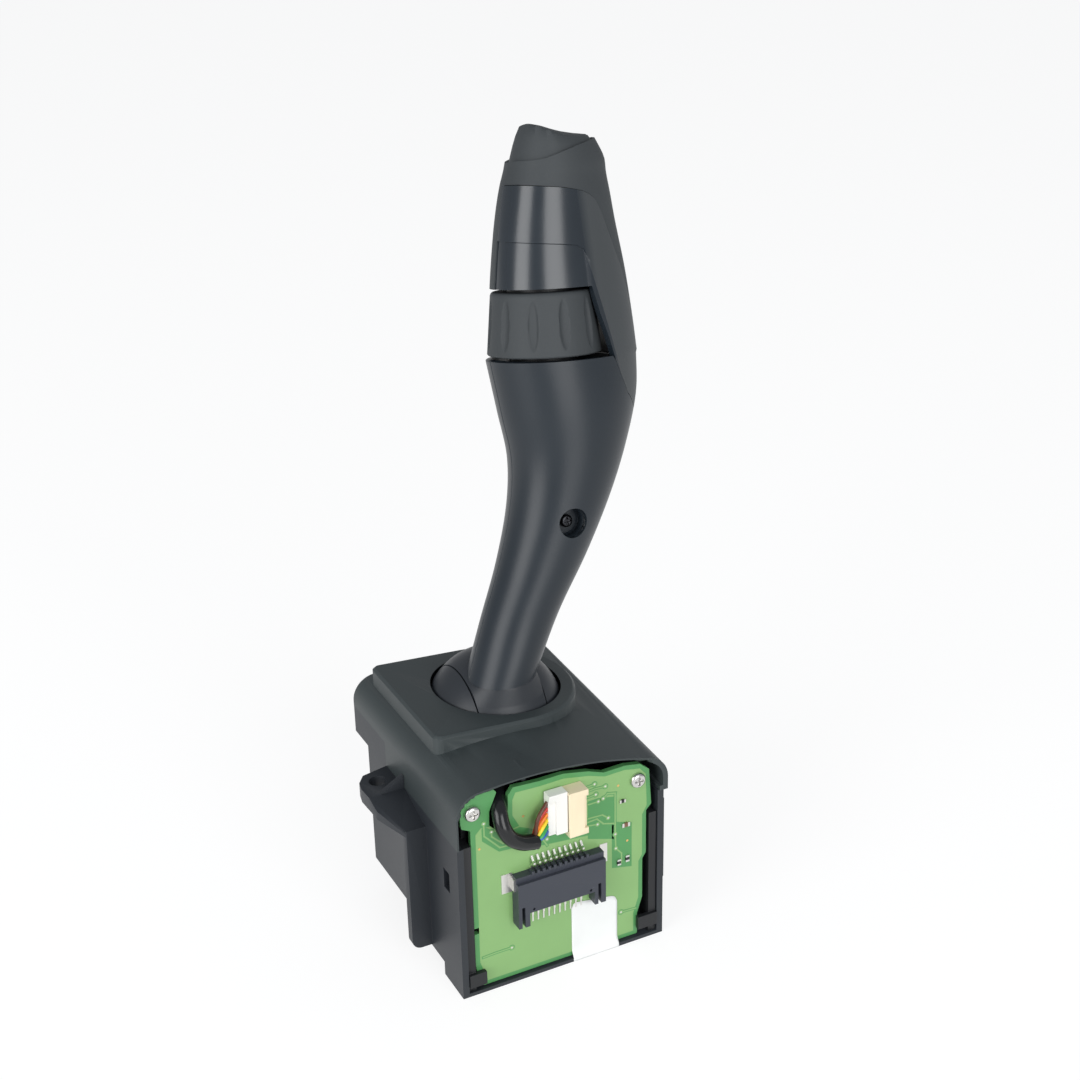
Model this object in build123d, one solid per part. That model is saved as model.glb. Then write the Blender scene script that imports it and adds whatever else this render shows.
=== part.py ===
from build123d import *

import math
import os

# A combination stalk switch. All sizes are millimetres. The model is drawn from the housing's lower
# left front corner: x runs right, y runs back from the open front, z runs up. Every piece is moved at
# the end, so that the mouth of the left ear's bore is the origin.

# Housing
HOUSING_WIDTH = 66.0
HOUSING_DEPTH = 65.0
HOUSING_HEIGHT = 51.0
WALL = 2.0
FLOOR = 1.2
STEP_FLOOR = 2.0
FRONT_STEP_DEPTH = 13.0
FRONT_STEP_HEIGHT = 4.5
REAR_STEP_DEPTH = 24.5
REAR_STEP_HEIGHT = 9.0
REAR_OVERHANG = 10.0
REAR_RISE = 8.0
REAR_SEAM_FROM_BACK = 14.5
SNAP_WINDOW_Y = 6.4
SNAP_WINDOW_WIDTH = 3.9
SNAP_WINDOW_DROP = 18.0
SNAP_WINDOW_HEIGHT = 6.5
SIDE_RIB_THICKNESS = 0.8

# Ears
EAR_BORE_RADIUS = 2.6
EAR_REACH = 5.5
EAR_BORE_Y = 43.8
EAR_THICKNESS = 4.5
EAR_TIP_REACH = 11.4
FLANGE_REACH = 6.2
FLANGE_Y = 21.5
FLANGE_THICKNESS = 3.0
FLANGE_FOOT = 5.0
GUSSET_HEIGHT = 4.3
GUSSET_THICKNESS = 1.6
GUSSET_Y = 36.5

# Cover
COVER_WALL = 1.6
CROWN_RISE = 17.5
COVER_OVERHANG = 1.1
SHOULDER = 7.5
# The right shoulder at the front and at the back, each point inwards from the wall and down from the crown
SHOULDER_FRONT = ((6.6, 5.3), (1.7, 8.3), (0.0, 13.2))
SHOULDER_BACK = ((2.1, 5.9), (0.5, 6.8), (0.0, 8.7))
LIP_PROUD = 0.5
RIB_PLACES = (22.0, 33.0, 44.0)
RIB_THICKNESS = 1.2
RIB_FRONT_Y = 3.4
RIB_BACK_Y = 9.0
RIB_FOOT_RISE = 14.2
PLATEAU_LEFT = 4.6
PLATEAU_RADIUS = 24.3
PLATEAU_TOP = 71.5
PLATEAU_TILT = 4.2
PLATEAU_CORNER = 2.5
PLATEAU_CHAMFER = 0.8

# Ball joint
PIVOT_SHIFT = 1.2
PIVOT_FROM_BACK = 18.5
PIVOT_RISE = 10.4
BALL_RADIUS = 21.0
BALL_WALL = 2.2
BALL_GAP = 1.0
BAND_LOW = 6.0
BAND_HIGH = 3.2
BAND_INNER = 17.3
STRIP_SHIFT = -1.0
STRIP_HALF = 10.4
STRIP_GAP = 0.35
STRIP_END = 6.1
PIN_RADIUS = 2.0
PIN_CLEARANCE = 0.05
RUNNING_GAP = 0.4
TOWER_HALF = 6.0
TOWER_THICKNESS = 5.0
FRAME_PLATE = 3.0

# Lower arm and detent
CHEEK_THICKNESS = 3.0
CHEEK_HALF = 6.0
BRIDGE_DROP = 12.0
BRIDGE_THICKNESS = 4.0
TUBE_RADIUS = 4.6
TUBE_DROP = 27.0
PLUNGER_RADIUS = 2.5
PLUNGER_CLEARANCE = 0.06
PLUNGER_TOP = 23.0
TIP_DROP = 34.0
DISH_GAP = 0.35
DISH_HALF = 9.0
DISH_RIM_DROP = 31.6
DISH_FOOT_DROP = 41.4
LEG_FOOT_DROP = 38.4
LEG_REACH = 24.0
LEG_THICKNESS = 2.5
MAGNET_ARM_DROP = 18.5
MAGNET_RADIUS = 3.0
MAGNET_LENGTH = 4.0
MAGNET_FRONT_Y = 13.0
TILT_SIDE = 8.0
TILT_FRONT = 7.0

# Board and what it carries
BOARD_FRONT_Y = 1.2
BOARD_THICKNESS = 1.6
BOARD_LEFT = 4.8
BOARD_RIGHT = 5.2
BOARD_CLEARANCE = 0.3
SCREW_HEAD_RADIUS = 2.4
SCREW_SHANK_RADIUS = 1.3
LEFT_SCREW_FROM_WALL = 5.4
LEFT_SCREW_RISE = 10.3
RIGHT_SCREW_FROM_WALL = 8.3
RIGHT_SCREW_RISE = 5.0
RIGHT_PEG_FROM_WALL = 9.1
RIGHT_PEG_DROP = 5.3
LEFT_PEG_FROM_WALL = 8.0
LEFT_PEG_Z = 21.2
PEG_RADIUS = 1.6
PEG_CLEARANCE = 0.3
CONNECTOR_LEFT = 17.0
CONNECTOR_WIDTH = 28.2
CONNECTOR_TOP = 37.0
CONNECTOR_SHOULDER_Z = 28.3
CONNECTOR_PLATE_Z = 24.8
CONNECTOR_ARM_Z = 20.3
CONNECTOR_DEPTH = 4.0
CONNECTOR_ARM_WIDTH = 3.6
PIN_COUNT = 10
PIN_PITCH = 1.75
CONTACT_WIDTH = 0.6
HEADER_LEFT = 33.2
HEADER_WIDTH = 6.1
HEADER_DROP = 4.4
HEADER_HEIGHT = 14.7
HEADER_DEPTH = 5.0
PLUG_WIDTH = 5.8
PLUG_DROP = 2.7
PLUG_HEIGHT = 13.4
PLUG_DEPTH = 3.5
SLEEVE_RADIUS = 2.3
WIRE_RADIUS = 0.6
WIRE_COUNT = 6
WIRE_GAP = 0.03
CHIP_HEIGHT = 0.8
# Each chip's distance from the right wall, drop below the housing's rim, width and height
CHIPS = ((13.4, 10.0, 3.2, 1.7), (12.4, 22.4, 1.8, 3.0), (15.1, 22.8, 1.6, 2.4), (14.4, 1.4, 2.4, 1.2))

# Lever, measured from the neck and square to the leaning grip
NECK_SHIFT = (-0.2, -6.1, 16.6)
LEAN_BACK = 12.5
SHELL_WALL = 2.0
SHELL_TOP = 89.5
SHELL_LID = 2.5
SPIGOT_RADIUS = 7.5
SPIGOT_HEIGHT = 9.0
NECK_GAP = 0.35
NECK_SEAM = 0.1
NECK_RING_RISE = 17.1
FLARE_FOOT_RISE = 10.5
FLARE_FOOT_RADIUS = 17.9
FLARE_TOP_RADIUS = 10.2
SCREW_WELL_RADIUS = 4.4
SCREW_WELL_HEIGHT = 43.1
SCREW_WELL_DEPTH = 5.5
SHELL_SCREW_RADIUS = 1.9

# Rotary ring
RING_FOOT = (26.35, 91.0)
RING_LEAN = 4.6
RING_HEIGHT = 18.2
RING_FOOT_RADIUS = 16.6
RING_TOP_RADIUS = 14.8
RING_WALL = 2.4
RING_GAP = 1.0
FLUTE_COUNT = 11
FLUTE_START = 4.6
FLUTE_RADIUS = 9.0
FLUTE_DEPTH = 0.55
CORE_RADIUS = 10.0
CORE_WALL = 2.0
CORE_CLEARANCE = 0.08

# Head of the lever
HEAD_TOP = 139.5
BAND_STEP = 124.0
BAND_RECESS = 0.4
GROOVE_Y = 5.5
STRIP_EDGE_FOOT = 42.0
STRIP_EDGE_TOP = 38.3
RIM_LEFT = 147.0
RIM_RIGHT = 149.8
COLLAR_WALL = 1.5
COLLAR_FLOOR = 1.2
TIP_BOARD = 1.0
TIP_BOARD_HALF = (5.5, 5.0)
TIP_BOARD_SHIFT = 4.5
# The tongue's left edge, down to its tip: across and height
TONGUE_EDGE = ((41.4, 88.5), (43.3, 82.6), (45.6, 77.3), (48.7, 72.1), (51.5, 69.0))

# Tip button
BUTTON_HALF = 9.4
BUTTON_FOOT = 142.8
BUTTON_PEAK = 154.6
BUTTON_PEAK_X = 29.5
BUTTON_GAP = 0.45
BUTTON_PIN_RADIUS = 1.0
BUTTON_PIN_AT = (46.0, 144.5)
PIN_COVER = 0.6
BUTTON_TRAVEL = 4.0

# Places worked out from the sizes above
PIVOT_Y = HOUSING_DEPTH - PIVOT_FROM_BACK
REAR_SEAM_Y = HOUSING_DEPTH - REAR_SEAM_FROM_BACK
PIVOT = Vector(HOUSING_WIDTH / 2 + PIVOT_SHIFT, PIVOT_Y, HOUSING_HEIGHT + PIVOT_RISE)
STRIP_X = PIVOT.X + STRIP_SHIFT
NECK = PIVOT + Vector(*NECK_SHIFT)
LEVER = Location((NECK.X, NECK.Y, NECK.Z), (-LEAN_BACK, 0, 0))
DISH_RIM_Z = PIVOT.Z - DISH_RIM_DROP
DISH_FOOT_Z = PIVOT.Z - DISH_FOOT_DROP
LEG_FOOT_Z = PIVOT.Z - LEG_FOOT_DROP
SNAP_WINDOW_Z = HOUSING_HEIGHT - SNAP_WINDOW_DROP
HEADER_BOTTOM = HOUSING_HEIGHT - HEADER_DROP
PLUG_BOTTOM = HOUSING_HEIGHT - PLUG_DROP
BOARD_BACK_Y = BOARD_FRONT_Y + BOARD_THICKNESS
COVER_DEPTH = HOUSING_DEPTH + REAR_OVERHANG
EAR_TOP = HOUSING_HEIGHT
ORIGIN = Vector(-EAR_REACH, EAR_BORE_Y, EAR_TOP)
RING_AXIS = Plane(
    origin=(RING_FOOT[0], 0, RING_FOOT[1]),
    x_dir=(math.cos(math.radians(RING_LEAN)), 0, -math.sin(math.radians(RING_LEAN))),
    z_dir=(math.sin(math.radians(RING_LEAN)), 0, math.cos(math.radians(RING_LEAN))),
)
BIG = 400.0
SECTION_POINTS = 8

# The grip's outline: height, middle, half width, half depth, and how much sharper its right side is
GRIP = (
    (-9.0, -4.4, 10.4, 10.4, 0.0),
    (0.0, 0.0, 10.8, 10.6, 0.0),
    (16.0, 8.2, 12.0, 10.8, 0.0),
    (32.0, 17.6, 13.9, 12.3, 0.0),
    (48.0, 25.3, 15.8, 14.2, 0.0),
    (62.0, 30.0, 18.1, 15.6, 0.05),
    (76.0, 32.0, 21.4, 16.4, 0.1),
    (90.0, 32.2, 23.0, 16.6, 0.15),
)
HEAD = (
    (87.0, 32.3, 23.0, 16.6, 0.15),
    (98.0, 33.2, 21.9, 15.7, 0.16),
    (112.0, 34.1, 20.3, 14.5, 0.18),
    (126.0, 35.0, 17.9, 13.4, 0.18),
    (141.0, 36.7, 15.3, 12.3, 0.2),
)
COLLAR = (
    (139.5, 36.7, 15.1, 12.1, 0.2),
    (144.0, 37.1, 14.5, 11.9, 0.2),
    (151.0, 36.2, 12.4, 11.0, 0.2),
)


def block(x0, x1, y0, y1, z0, z1):
    middle = ((x0 + x1) / 2, (y0 + y1) / 2, (z0 + z1) / 2)
    return Pos(*middle) * Box(x1 - x0, y1 - y0, z1 - z0)


def rod(start, end, radius):
    start = Vector(*start)
    along = Vector(*end) - start
    seat = (Align.CENTER, Align.CENTER, Align.MIN)
    return Plane(origin=start, z_dir=along) * Cylinder(radius, along.length, align=seat)


def front_prism(sketch, y0, y1):
    plane = Plane(origin=(0, y0, 0), x_dir=(1, 0, 0), z_dir=(0, -1, 0))
    return extrude(plane * sketch, amount=y1 - y0, dir=(0, 1, 0))


def side_prism(points, x0, x1):
    plane = Plane(origin=(x0, 0, 0), x_dir=(0, 1, 0), z_dir=(1, 0, 0))
    return extrude(plane * Polygon(*points, align=None), amount=x1 - x0, dir=(1, 0, 0))


def flat_prism(sketch, z0, z1):
    return extrude(Plane.XY.offset(z0) * sketch, amount=z1 - z0, dir=(0, 0, 1))


def ball(radius):
    return Pos(PIVOT.X, PIVOT.Y, PIVOT.Z) * Sphere(radius)


def mirrored(piece):
    return mirror(piece, Plane.YZ.offset(HOUSING_WIDTH / 2))


# Housing: a stepped box, open at the front and the top
def housing_shell():
    outer = side_prism(
        [
            (0, 0),
            (FRONT_STEP_DEPTH, 0),
            (FRONT_STEP_DEPTH, FRONT_STEP_HEIGHT),
            (REAR_STEP_DEPTH, FRONT_STEP_HEIGHT),
            (REAR_STEP_DEPTH, REAR_STEP_HEIGHT),
            (HOUSING_DEPTH, REAR_STEP_HEIGHT),
            (HOUSING_DEPTH, HOUSING_HEIGHT),
            (0, HOUSING_HEIGHT),
        ],
        0,
        HOUSING_WIDTH,
    )
    top = HOUSING_HEIGHT + 1
    front = FRONT_STEP_DEPTH - STEP_FLOOR
    middle = REAR_STEP_DEPTH - STEP_FLOOR
    inner = side_prism(
        [
            (-1, FLOOR),
            (front, FLOOR),
            (front, FRONT_STEP_HEIGHT + STEP_FLOOR),
            (middle, FRONT_STEP_HEIGHT + STEP_FLOOR),
            (middle, REAR_STEP_HEIGHT + STEP_FLOOR),
            (HOUSING_DEPTH - WALL, REAR_STEP_HEIGHT + STEP_FLOOR),
            (HOUSING_DEPTH - WALL, top),
            (-1, top),
        ],
        WALL,
        HOUSING_WIDTH - WALL,
    )
    return outer - inner


def rear_rise():
    low = HOUSING_HEIGHT - 1
    high = HOUSING_HEIGHT + REAR_RISE
    outer = block(0, HOUSING_WIDTH, REAR_SEAM_Y, COVER_DEPTH, low, high)
    tray = block(WALL, HOUSING_WIDTH - WALL, 0, COVER_DEPTH - WALL, HOUSING_HEIGHT + 1, high + 1)
    well = block(WALL, HOUSING_WIDTH - WALL, 0, HOUSING_DEPTH - WALL, low - 1, high)
    return outer - tray - well


def ear():
    plan = Polygon(
        (0.5, 50.4),
        (-8.3, 48.5),
        (-10.7, 45.3),
        (-EAR_TIP_REACH, 42),
        (-10.9, 31.6),
        (-FLANGE_REACH, FLANGE_Y),
        (0.5, FLANGE_Y),
        align=None,
    )
    foot = EAR_TOP - EAR_THICKNESS
    side = [
        (FLANGE_Y, foot - 2),
        (FLANGE_Y, foot - 1),
        (GUSSET_Y, EAR_TOP),
        (EAR_BORE_Y + 10, EAR_TOP),
        (EAR_BORE_Y + 10, foot),
        (GUSSET_Y - 4, foot),
    ]
    lug = flat_prism(plan, 0, EAR_TOP + 5) & side_prism(side, -EAR_TIP_REACH - 1, 1)
    flange = block(-FLANGE_REACH, 0.5, FLANGE_Y, FLANGE_Y + FLANGE_THICKNESS, FLANGE_FOOT, foot)
    corner = flange.edges().filter_by(Axis.Y).group_by(Axis.Z)[0].sort_by(Axis.X)[0]
    flange = fillet(corner, FLANGE_THICKNESS)
    gusset = front_prism(
        Polygon(
            (-EAR_REACH - 2, EAR_TOP - 1),
            (-EAR_REACH - 2, EAR_TOP),
            (-0.1, EAR_TOP + GUSSET_HEIGHT),
            (-0.1, EAR_TOP - 1),
            align=None,
        ),
        GUSSET_Y,
        GUSSET_Y + GUSSET_THICKNESS,
    )
    bore = rod((-EAR_REACH, EAR_BORE_Y, foot - 5), (-EAR_REACH, EAR_BORE_Y, EAR_TOP + 5), EAR_BORE_RADIUS)
    return lug + flange + gusset - bore


def main_housing():
    body = housing_shell() + rear_rise() + ear()
    window = block(
        -1,
        WALL + 1,
        SNAP_WINDOW_Y,
        SNAP_WINDOW_Y + SNAP_WINDOW_WIDTH,
        SNAP_WINDOW_Z,
        SNAP_WINDOW_Z + SNAP_WINDOW_HEIGHT,
    )
    rib = block(
        HOUSING_WIDTH,
        HOUSING_WIDTH + SIDE_RIB_THICKNESS,
        1,
        FLANGE_Y,
        HOUSING_HEIGHT * 0.38,
        HOUSING_HEIGHT * 0.92,
    )
    return body - window - mirrored(window) + rib


# Cover: a crowned shell with a raised plateau round the ball
def cover_profile(share):
    # The share runs from 0 at the open front to 1 at the back, and the right shoulder fills out with it
    left_top = HOUSING_HEIGHT + CROWN_RISE
    right = HOUSING_WIDTH + COVER_OVERHANG
    start = (0, left_top - SHOULDER - 0.2)
    crown = (SHOULDER, left_top - 0.2)
    diagonal = SHOULDER * (1 - math.sqrt(0.5))
    shoulder = []
    for front, back in zip(SHOULDER_FRONT, SHOULDER_BACK):
        inwards = front[0] + (back[0] - front[0]) * share
        down = front[1] + (back[1] - front[1]) * share
        shoulder.append((right - inwards, left_top - down))
    slope, bulge, foot = shoulder
    with BuildSketch() as sketch:
        with BuildLine():
            Line((0, HOUSING_HEIGHT), start)
            ThreePointArc(start, (diagonal, left_top - 0.2 - diagonal), crown)
            ThreePointArc(crown, (HOUSING_WIDTH / 2 + 1, left_top), slope)
            ThreePointArc(slope, bulge, foot)
            Line(foot, (right, HOUSING_HEIGHT))
            Line((right, HOUSING_HEIGHT), (0, HOUSING_HEIGHT))
        make_face()
    return sketch.sketch


def cover_form(inset, start, end):
    faces = []
    for y in (start, end):
        profile = cover_profile(y / COVER_DEPTH)
        if inset:
            profile = offset(profile, -inset)
        plane = Plane(origin=(0, y, 0), x_dir=(1, 0, 0), z_dir=(0, -1, 0))
        faces.append((plane * profile).face())
    return loft(faces, ruled=True)


def cover_skirt(inset):
    return Pos(HOUSING_WIDTH / 2, HOUSING_HEIGHT) * Rectangle(HOUSING_WIDTH - 2 * inset, 4 * inset)


def cover_inside(inset):
    return offset(cover_profile(0), -inset) + cover_skirt(inset)


def plateau():
    flat = Pos(PIVOT.X + 0.4, PIVOT_Y + 0.3) * Circle(PLATEAU_RADIUS)
    left = PIVOT.X + 0.4 - PLATEAU_LEFT
    plan = flat + Pos(PLATEAU_LEFT + left / 2, PIVOT_Y + 0.3) * Rectangle(left, 2 * PLATEAU_RADIUS)
    corners = plan.vertices().sort_by(Axis.X)[:2]
    plan = fillet(corners, PLATEAU_CORNER)
    column = flat_prism(plan, HOUSING_HEIGHT + CROWN_RISE - 12, PLATEAU_TOP + 6)
    seat = Location((PIVOT.X, PIVOT_Y, PLATEAU_TOP), (0, PLATEAU_TILT, 0))
    raised = column - seat * Pos(0, 0, BIG / 2) * Box(BIG, BIG, BIG)
    rim = raised.faces().sort_by(Axis.Z)[-1]
    return chamfer(rim.edges(), PLATEAU_CHAMFER)


def top_cover():
    back = COVER_DEPTH + 5
    right = HOUSING_WIDTH + 5
    raised = cover_form(0, -LIP_PROUD, COVER_DEPTH) + plateau()
    inner = cover_form(COVER_WALL, -LIP_PROUD - 1, COVER_DEPTH - WALL)
    inner += front_prism(cover_skirt(COVER_WALL), -LIP_PROUD - 1, COVER_DEPTH - WALL)
    rear = block(-5, right, REAR_SEAM_Y, back, HOUSING_HEIGHT - 5, HOUSING_HEIGHT + REAR_RISE)
    below = block(-5, right, -5, back, HOUSING_HEIGHT - 20, HOUSING_HEIGHT)
    cover = raised - inner - rear - below - ball(BALL_RADIUS + BALL_GAP)
    low = HOUSING_HEIGHT + RIB_FOOT_RISE
    for x in RIB_PLACES:
        rib = block(x, x + RIB_THICKNESS, RIB_FRONT_Y, RIB_BACK_Y, low, HOUSING_HEIGHT + 25)
        cover += front_prism(cover_profile(0), RIB_FRONT_Y, RIB_BACK_Y) & rib
    return cover


# Frame that carries the ball's two pins, and the detent dish below it
def bearing_frame():
    low = HOUSING_HEIGHT
    high = low + FRAME_PLATE
    margin = WALL + BOARD_CLEARANCE
    plate = block(margin, HOUSING_WIDTH - margin, PIVOT_Y - 27.5, HOUSING_DEPTH - margin, low, high)
    tail = block(PIVOT.X - 15, PIVOT.X + 15, PIVOT_Y, PIVOT_Y + 26.0, low + 1.0, high)
    frame = plate + tail
    span = BALL_RADIUS + BALL_GAP + 0.5
    for y0 in (PIVOT_Y - span - TOWER_THICKNESS, PIVOT_Y + span - 1.0):
        frame += block(PIVOT.X - TOWER_HALF, PIVOT.X + TOWER_HALF, y0, y0 + TOWER_THICKNESS, low + 1.0, PIVOT.Z + 3.4)
    for side in (-1, 1):
        x0 = PIVOT.X + side * (LEG_REACH + LEG_THICKNESS / 2) - LEG_THICKNESS / 2
        frame += block(x0, x0 + LEG_THICKNESS, PIVOT_Y - 14, PIVOT_Y + 14, LEG_FOOT_Z, high)
    frame -= ball(BALL_RADIUS + BALL_GAP)
    bore = rod((PIVOT.X, -5, PIVOT.Z), (PIVOT.X, COVER_DEPTH - WALL - 1.2, PIVOT.Z), PIN_RADIUS + PIN_CLEARANCE)
    return frame - bore


def detent_positions():
    return [(0, 0), (TILT_SIDE, 0), (-TILT_SIDE, 0), (0, TILT_FRONT), (0, -TILT_FRONT)]


def detent_dish():
    reach = LEG_REACH + LEG_THICKNESS
    base = block(PIVOT.X - reach, PIVOT.X + reach, PIVOT_Y - 14, PIVOT_Y + 14, DISH_FOOT_Z, LEG_FOOT_Z)
    half = DISH_HALF
    bowl = block(PIVOT.X - half, PIVOT.X + half, PIVOT_Y - half, PIVOT_Y + half, DISH_FOOT_Z, DISH_RIM_Z)
    dish = base + bowl - ball(TIP_DROP + DISH_GAP)
    for side, front in detent_positions():
        turn = Location((PIVOT.X, PIVOT.Y, PIVOT.Z), (front, side, 0))
        dish -= turn * Pos(0, 0, PLUNGER_RADIUS - TIP_DROP) * Sphere(PLUNGER_RADIUS + DISH_GAP + 0.5)
    return dish


def frame_screws():
    screws = []
    for side in (-1, 1):
        for y in (PIVOT_Y - 10, PIVOT_Y + 10):
            x = PIVOT.X + side * (LEG_REACH + LEG_THICKNESS / 2)
            head = rod((x, y, DISH_FOOT_Z - 1.6), (x, y, DISH_FOOT_Z), SCREW_HEAD_RADIUS)
            shank = rod((x, y, DISH_FOOT_Z), (x, y, LEG_FOOT_Z + 5), 0.8)
            screws.append(head + shank)
    return screws


def drill(solid, screws, clearance):
    for screw in screws:
        box = screw.bounding_box()
        x = (box.min.X + box.max.X) / 2
        y = (box.min.Y + box.max.Y) / 2
        solid -= rod((x, y, box.min.Z + 1.6), (x, y, box.max.Z + 0.5), 0.8 + clearance)
    return solid


# Ball with its slot, its pins, and the strip that fills the slot
def gimbal_dome():
    shell = ball(BALL_RADIUS) - ball(BALL_RADIUS - BALL_WALL)
    low = PIVOT.Z - BAND_LOW
    band = ball(BALL_RADIUS) & block(
        PIVOT.X - BIG, PIVOT.X + BIG, PIVOT.Y - BIG, PIVOT.Y + BIG, low, PIVOT.Z + BAND_HIGH
    )
    band -= rod((PIVOT.X, PIVOT.Y, low - 1), (PIVOT.X, PIVOT.Y, PIVOT.Z + BAND_HIGH + 1), BAND_INNER)
    half = STRIP_HALF + STRIP_GAP
    slot = block(STRIP_X - half, STRIP_X + half, PIVOT.Y - BIG, PIVOT.Y + BIG, PIVOT.Z + BAND_HIGH, PIVOT.Z + BIG)
    below = block(PIVOT.X - BIG, PIVOT.X + BIG, PIVOT.Y - BIG, PIVOT.Y + BIG, PIVOT.Z - BIG, low)
    dome = shell + band - slot - below
    for side in (-1, 1):
        inner = STRIP_X + side * (STRIP_HALF - 0.5 + RUNNING_GAP)
        outer = PIVOT.X + side * (BALL_RADIUS - BALL_WALL / 2)
        dome += rod((inner, PIVOT.Y, PIVOT.Z), (outer, PIVOT.Y, PIVOT.Z), 2 * PIN_RADIUS)
        dome -= rod(
            (PIVOT.X + side * 5, PIVOT.Y, PIVOT.Z), (PIVOT.X + side * (BALL_RADIUS - 1), PIVOT.Y, PIVOT.Z), PIN_RADIUS
        )
        dome -= rod(
            (PIVOT.X, PIVOT.Y + side * 5, PIVOT.Z), (PIVOT.X, PIVOT.Y + side * (BALL_RADIUS + 5), PIVOT.Z), PIN_RADIUS
        )
    return dome


def gimbal_pins():
    span = BALL_RADIUS + BALL_GAP + 0.5
    front = rod(
        (PIVOT.X, PIVOT.Y - span - TOWER_THICKNESS + 0.5, PIVOT.Z), (PIVOT.X, PIVOT.Y - BAND_INNER, PIVOT.Z), PIN_RADIUS
    )
    back = rod(
        (PIVOT.X, PIVOT.Y + BAND_INNER, PIVOT.Z),
        (PIVOT.X, PIVOT.Y + span - 1.0 + TOWER_THICKNESS - 1.5, PIVOT.Z),
        PIN_RADIUS,
    )
    return [front, back]


def cheek_face(side):
    return STRIP_X + side * (STRIP_HALF - 0.5)


def cross_pins():
    pins = []
    for side in (-1, 1):
        inner = cheek_face(side) - side * (CHEEK_THICKNESS + 0.4)
        pins.append(
            rod((inner, PIVOT.Y, PIVOT.Z), (PIVOT.X + side * (BALL_RADIUS - 1), PIVOT.Y, PIVOT.Z), PIN_RADIUS)
        )
    return pins


def spigot_rod(radius, drop, height):
    lean = (GRIP[2][1] - GRIP[1][1]) / (GRIP[2][0] - GRIP[1][0])
    return LEVER * rod((-drop * lean, 0, -drop), (height * lean, 0, height), radius)


def neck_flare():
    foot = Pos(PIVOT.X, PIVOT.Y, PIVOT.Z + FLARE_FOOT_RISE) * Circle(FLARE_FOOT_RADIUS)
    top = Pos(NECK.X, NECK.Y, PIVOT.Z + NECK_RING_RISE) * Circle(FLARE_TOP_RADIUS)
    return loft([foot, top])


def slide_strip():
    shell = ball(BALL_RADIUS) - ball(BALL_RADIUS - BALL_WALL)
    window = block(
        STRIP_X - STRIP_HALF, STRIP_X + STRIP_HALF, PIVOT.Y - BIG, PIVOT.Y + BIG, PIVOT.Z + STRIP_END, PIVOT.Z + BIG
    )
    spigot = spigot_rod(SPIGOT_RADIUS, 6, SPIGOT_HEIGHT) - ball(BALL_RADIUS - BALL_WALL)
    passage = spigot_rod(SPIGOT_RADIUS - 2.4, 20, SPIGOT_HEIGHT + 5)
    flare = (neck_flare() & window) - ball(BALL_RADIUS - BALL_WALL)
    return (shell & window) + flare + spigot - passage


def lever_arm():
    inside = BALL_RADIUS - BALL_WALL - 0.02
    arm = None
    for side in (-1, 1):
        outer = cheek_face(side)
        inner = outer - side * CHEEK_THICKNESS
        x0, x1 = sorted((outer, inner))
        cheek = block(x0, x1, PIVOT.Y - CHEEK_HALF, PIVOT.Y + CHEEK_HALF, PIVOT.Z - BRIDGE_DROP, PIVOT.Z + BALL_RADIUS)
        arm = cheek if arm is None else arm + cheek
    bridge_low = PIVOT.Z - BRIDGE_DROP - BRIDGE_THICKNESS
    arm += block(
        cheek_face(-1),
        cheek_face(1),
        PIVOT.Y - CHEEK_HALF,
        PIVOT.Y + CHEEK_HALF,
        bridge_low,
        PIVOT.Z - BRIDGE_DROP,
    )
    arm &= ball(inside)
    arm += rod((PIVOT.X, PIVOT.Y, PIVOT.Z - TUBE_DROP), (PIVOT.X, PIVOT.Y, bridge_low + 1), TUBE_RADIUS)
    arm_z = PIVOT.Z - MAGNET_ARM_DROP
    arm += block(
        PIVOT.X - 2, PIVOT.X + 2, MAGNET_FRONT_Y + MAGNET_LENGTH, PIVOT.Y - 2, arm_z - 1.5, arm_z + 1.5
    )
    arm += rod(
        (PIVOT.X, MAGNET_FRONT_Y + 0.8, arm_z),
        (PIVOT.X, MAGNET_FRONT_Y + MAGNET_LENGTH + 1.5, arm_z),
        MAGNET_RADIUS + 1,
    )
    arm -= rod(
        (PIVOT.X, MAGNET_FRONT_Y - 1, arm_z), (PIVOT.X, MAGNET_FRONT_Y + MAGNET_LENGTH, arm_z), MAGNET_RADIUS + 0.02
    )
    arm -= rod(
        (PIVOT.X, PIVOT.Y, PIVOT.Z - TUBE_DROP - 1),
        (PIVOT.X, PIVOT.Y, bridge_low + 2),
        PLUNGER_RADIUS + PLUNGER_CLEARANCE,
    )
    arm -= rod((0, PIVOT.Y, PIVOT.Z), (HOUSING_WIDTH, PIVOT.Y, PIVOT.Z), PIN_RADIUS + PIN_CLEARANCE)
    return arm


def lever_magnet():
    arm_z = PIVOT.Z - MAGNET_ARM_DROP
    return rod((PIVOT.X, MAGNET_FRONT_Y, arm_z), (PIVOT.X, MAGNET_FRONT_Y + MAGNET_LENGTH, arm_z), MAGNET_RADIUS)


def detent_plunger():
    tip_centre = PIVOT.Z - TIP_DROP + PLUNGER_RADIUS
    body = rod((PIVOT.X, PIVOT.Y, tip_centre), (PIVOT.X, PIVOT.Y, PIVOT.Z - PLUNGER_TOP), PLUNGER_RADIUS)
    return body + Pos(PIVOT.X, PIVOT.Y, tip_centre) * Sphere(PLUNGER_RADIUS)


def detent_spring():
    top = PIVOT.Z - BRIDGE_DROP - BRIDGE_THICKNESS + 2
    bottom = PIVOT.Z - PLUNGER_TOP
    wire = 0.35
    radius = PLUNGER_RADIUS - wire - 0.1
    height = top - bottom - 2 * wire
    path = Pos(PIVOT.X, PIVOT.Y, bottom + wire) * Helix(pitch=height / 4, height=height, radius=radius)
    section = Plane(origin=path @ 0, z_dir=path % 0) * Circle(wire)
    return sweep(section, path=path)


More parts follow.
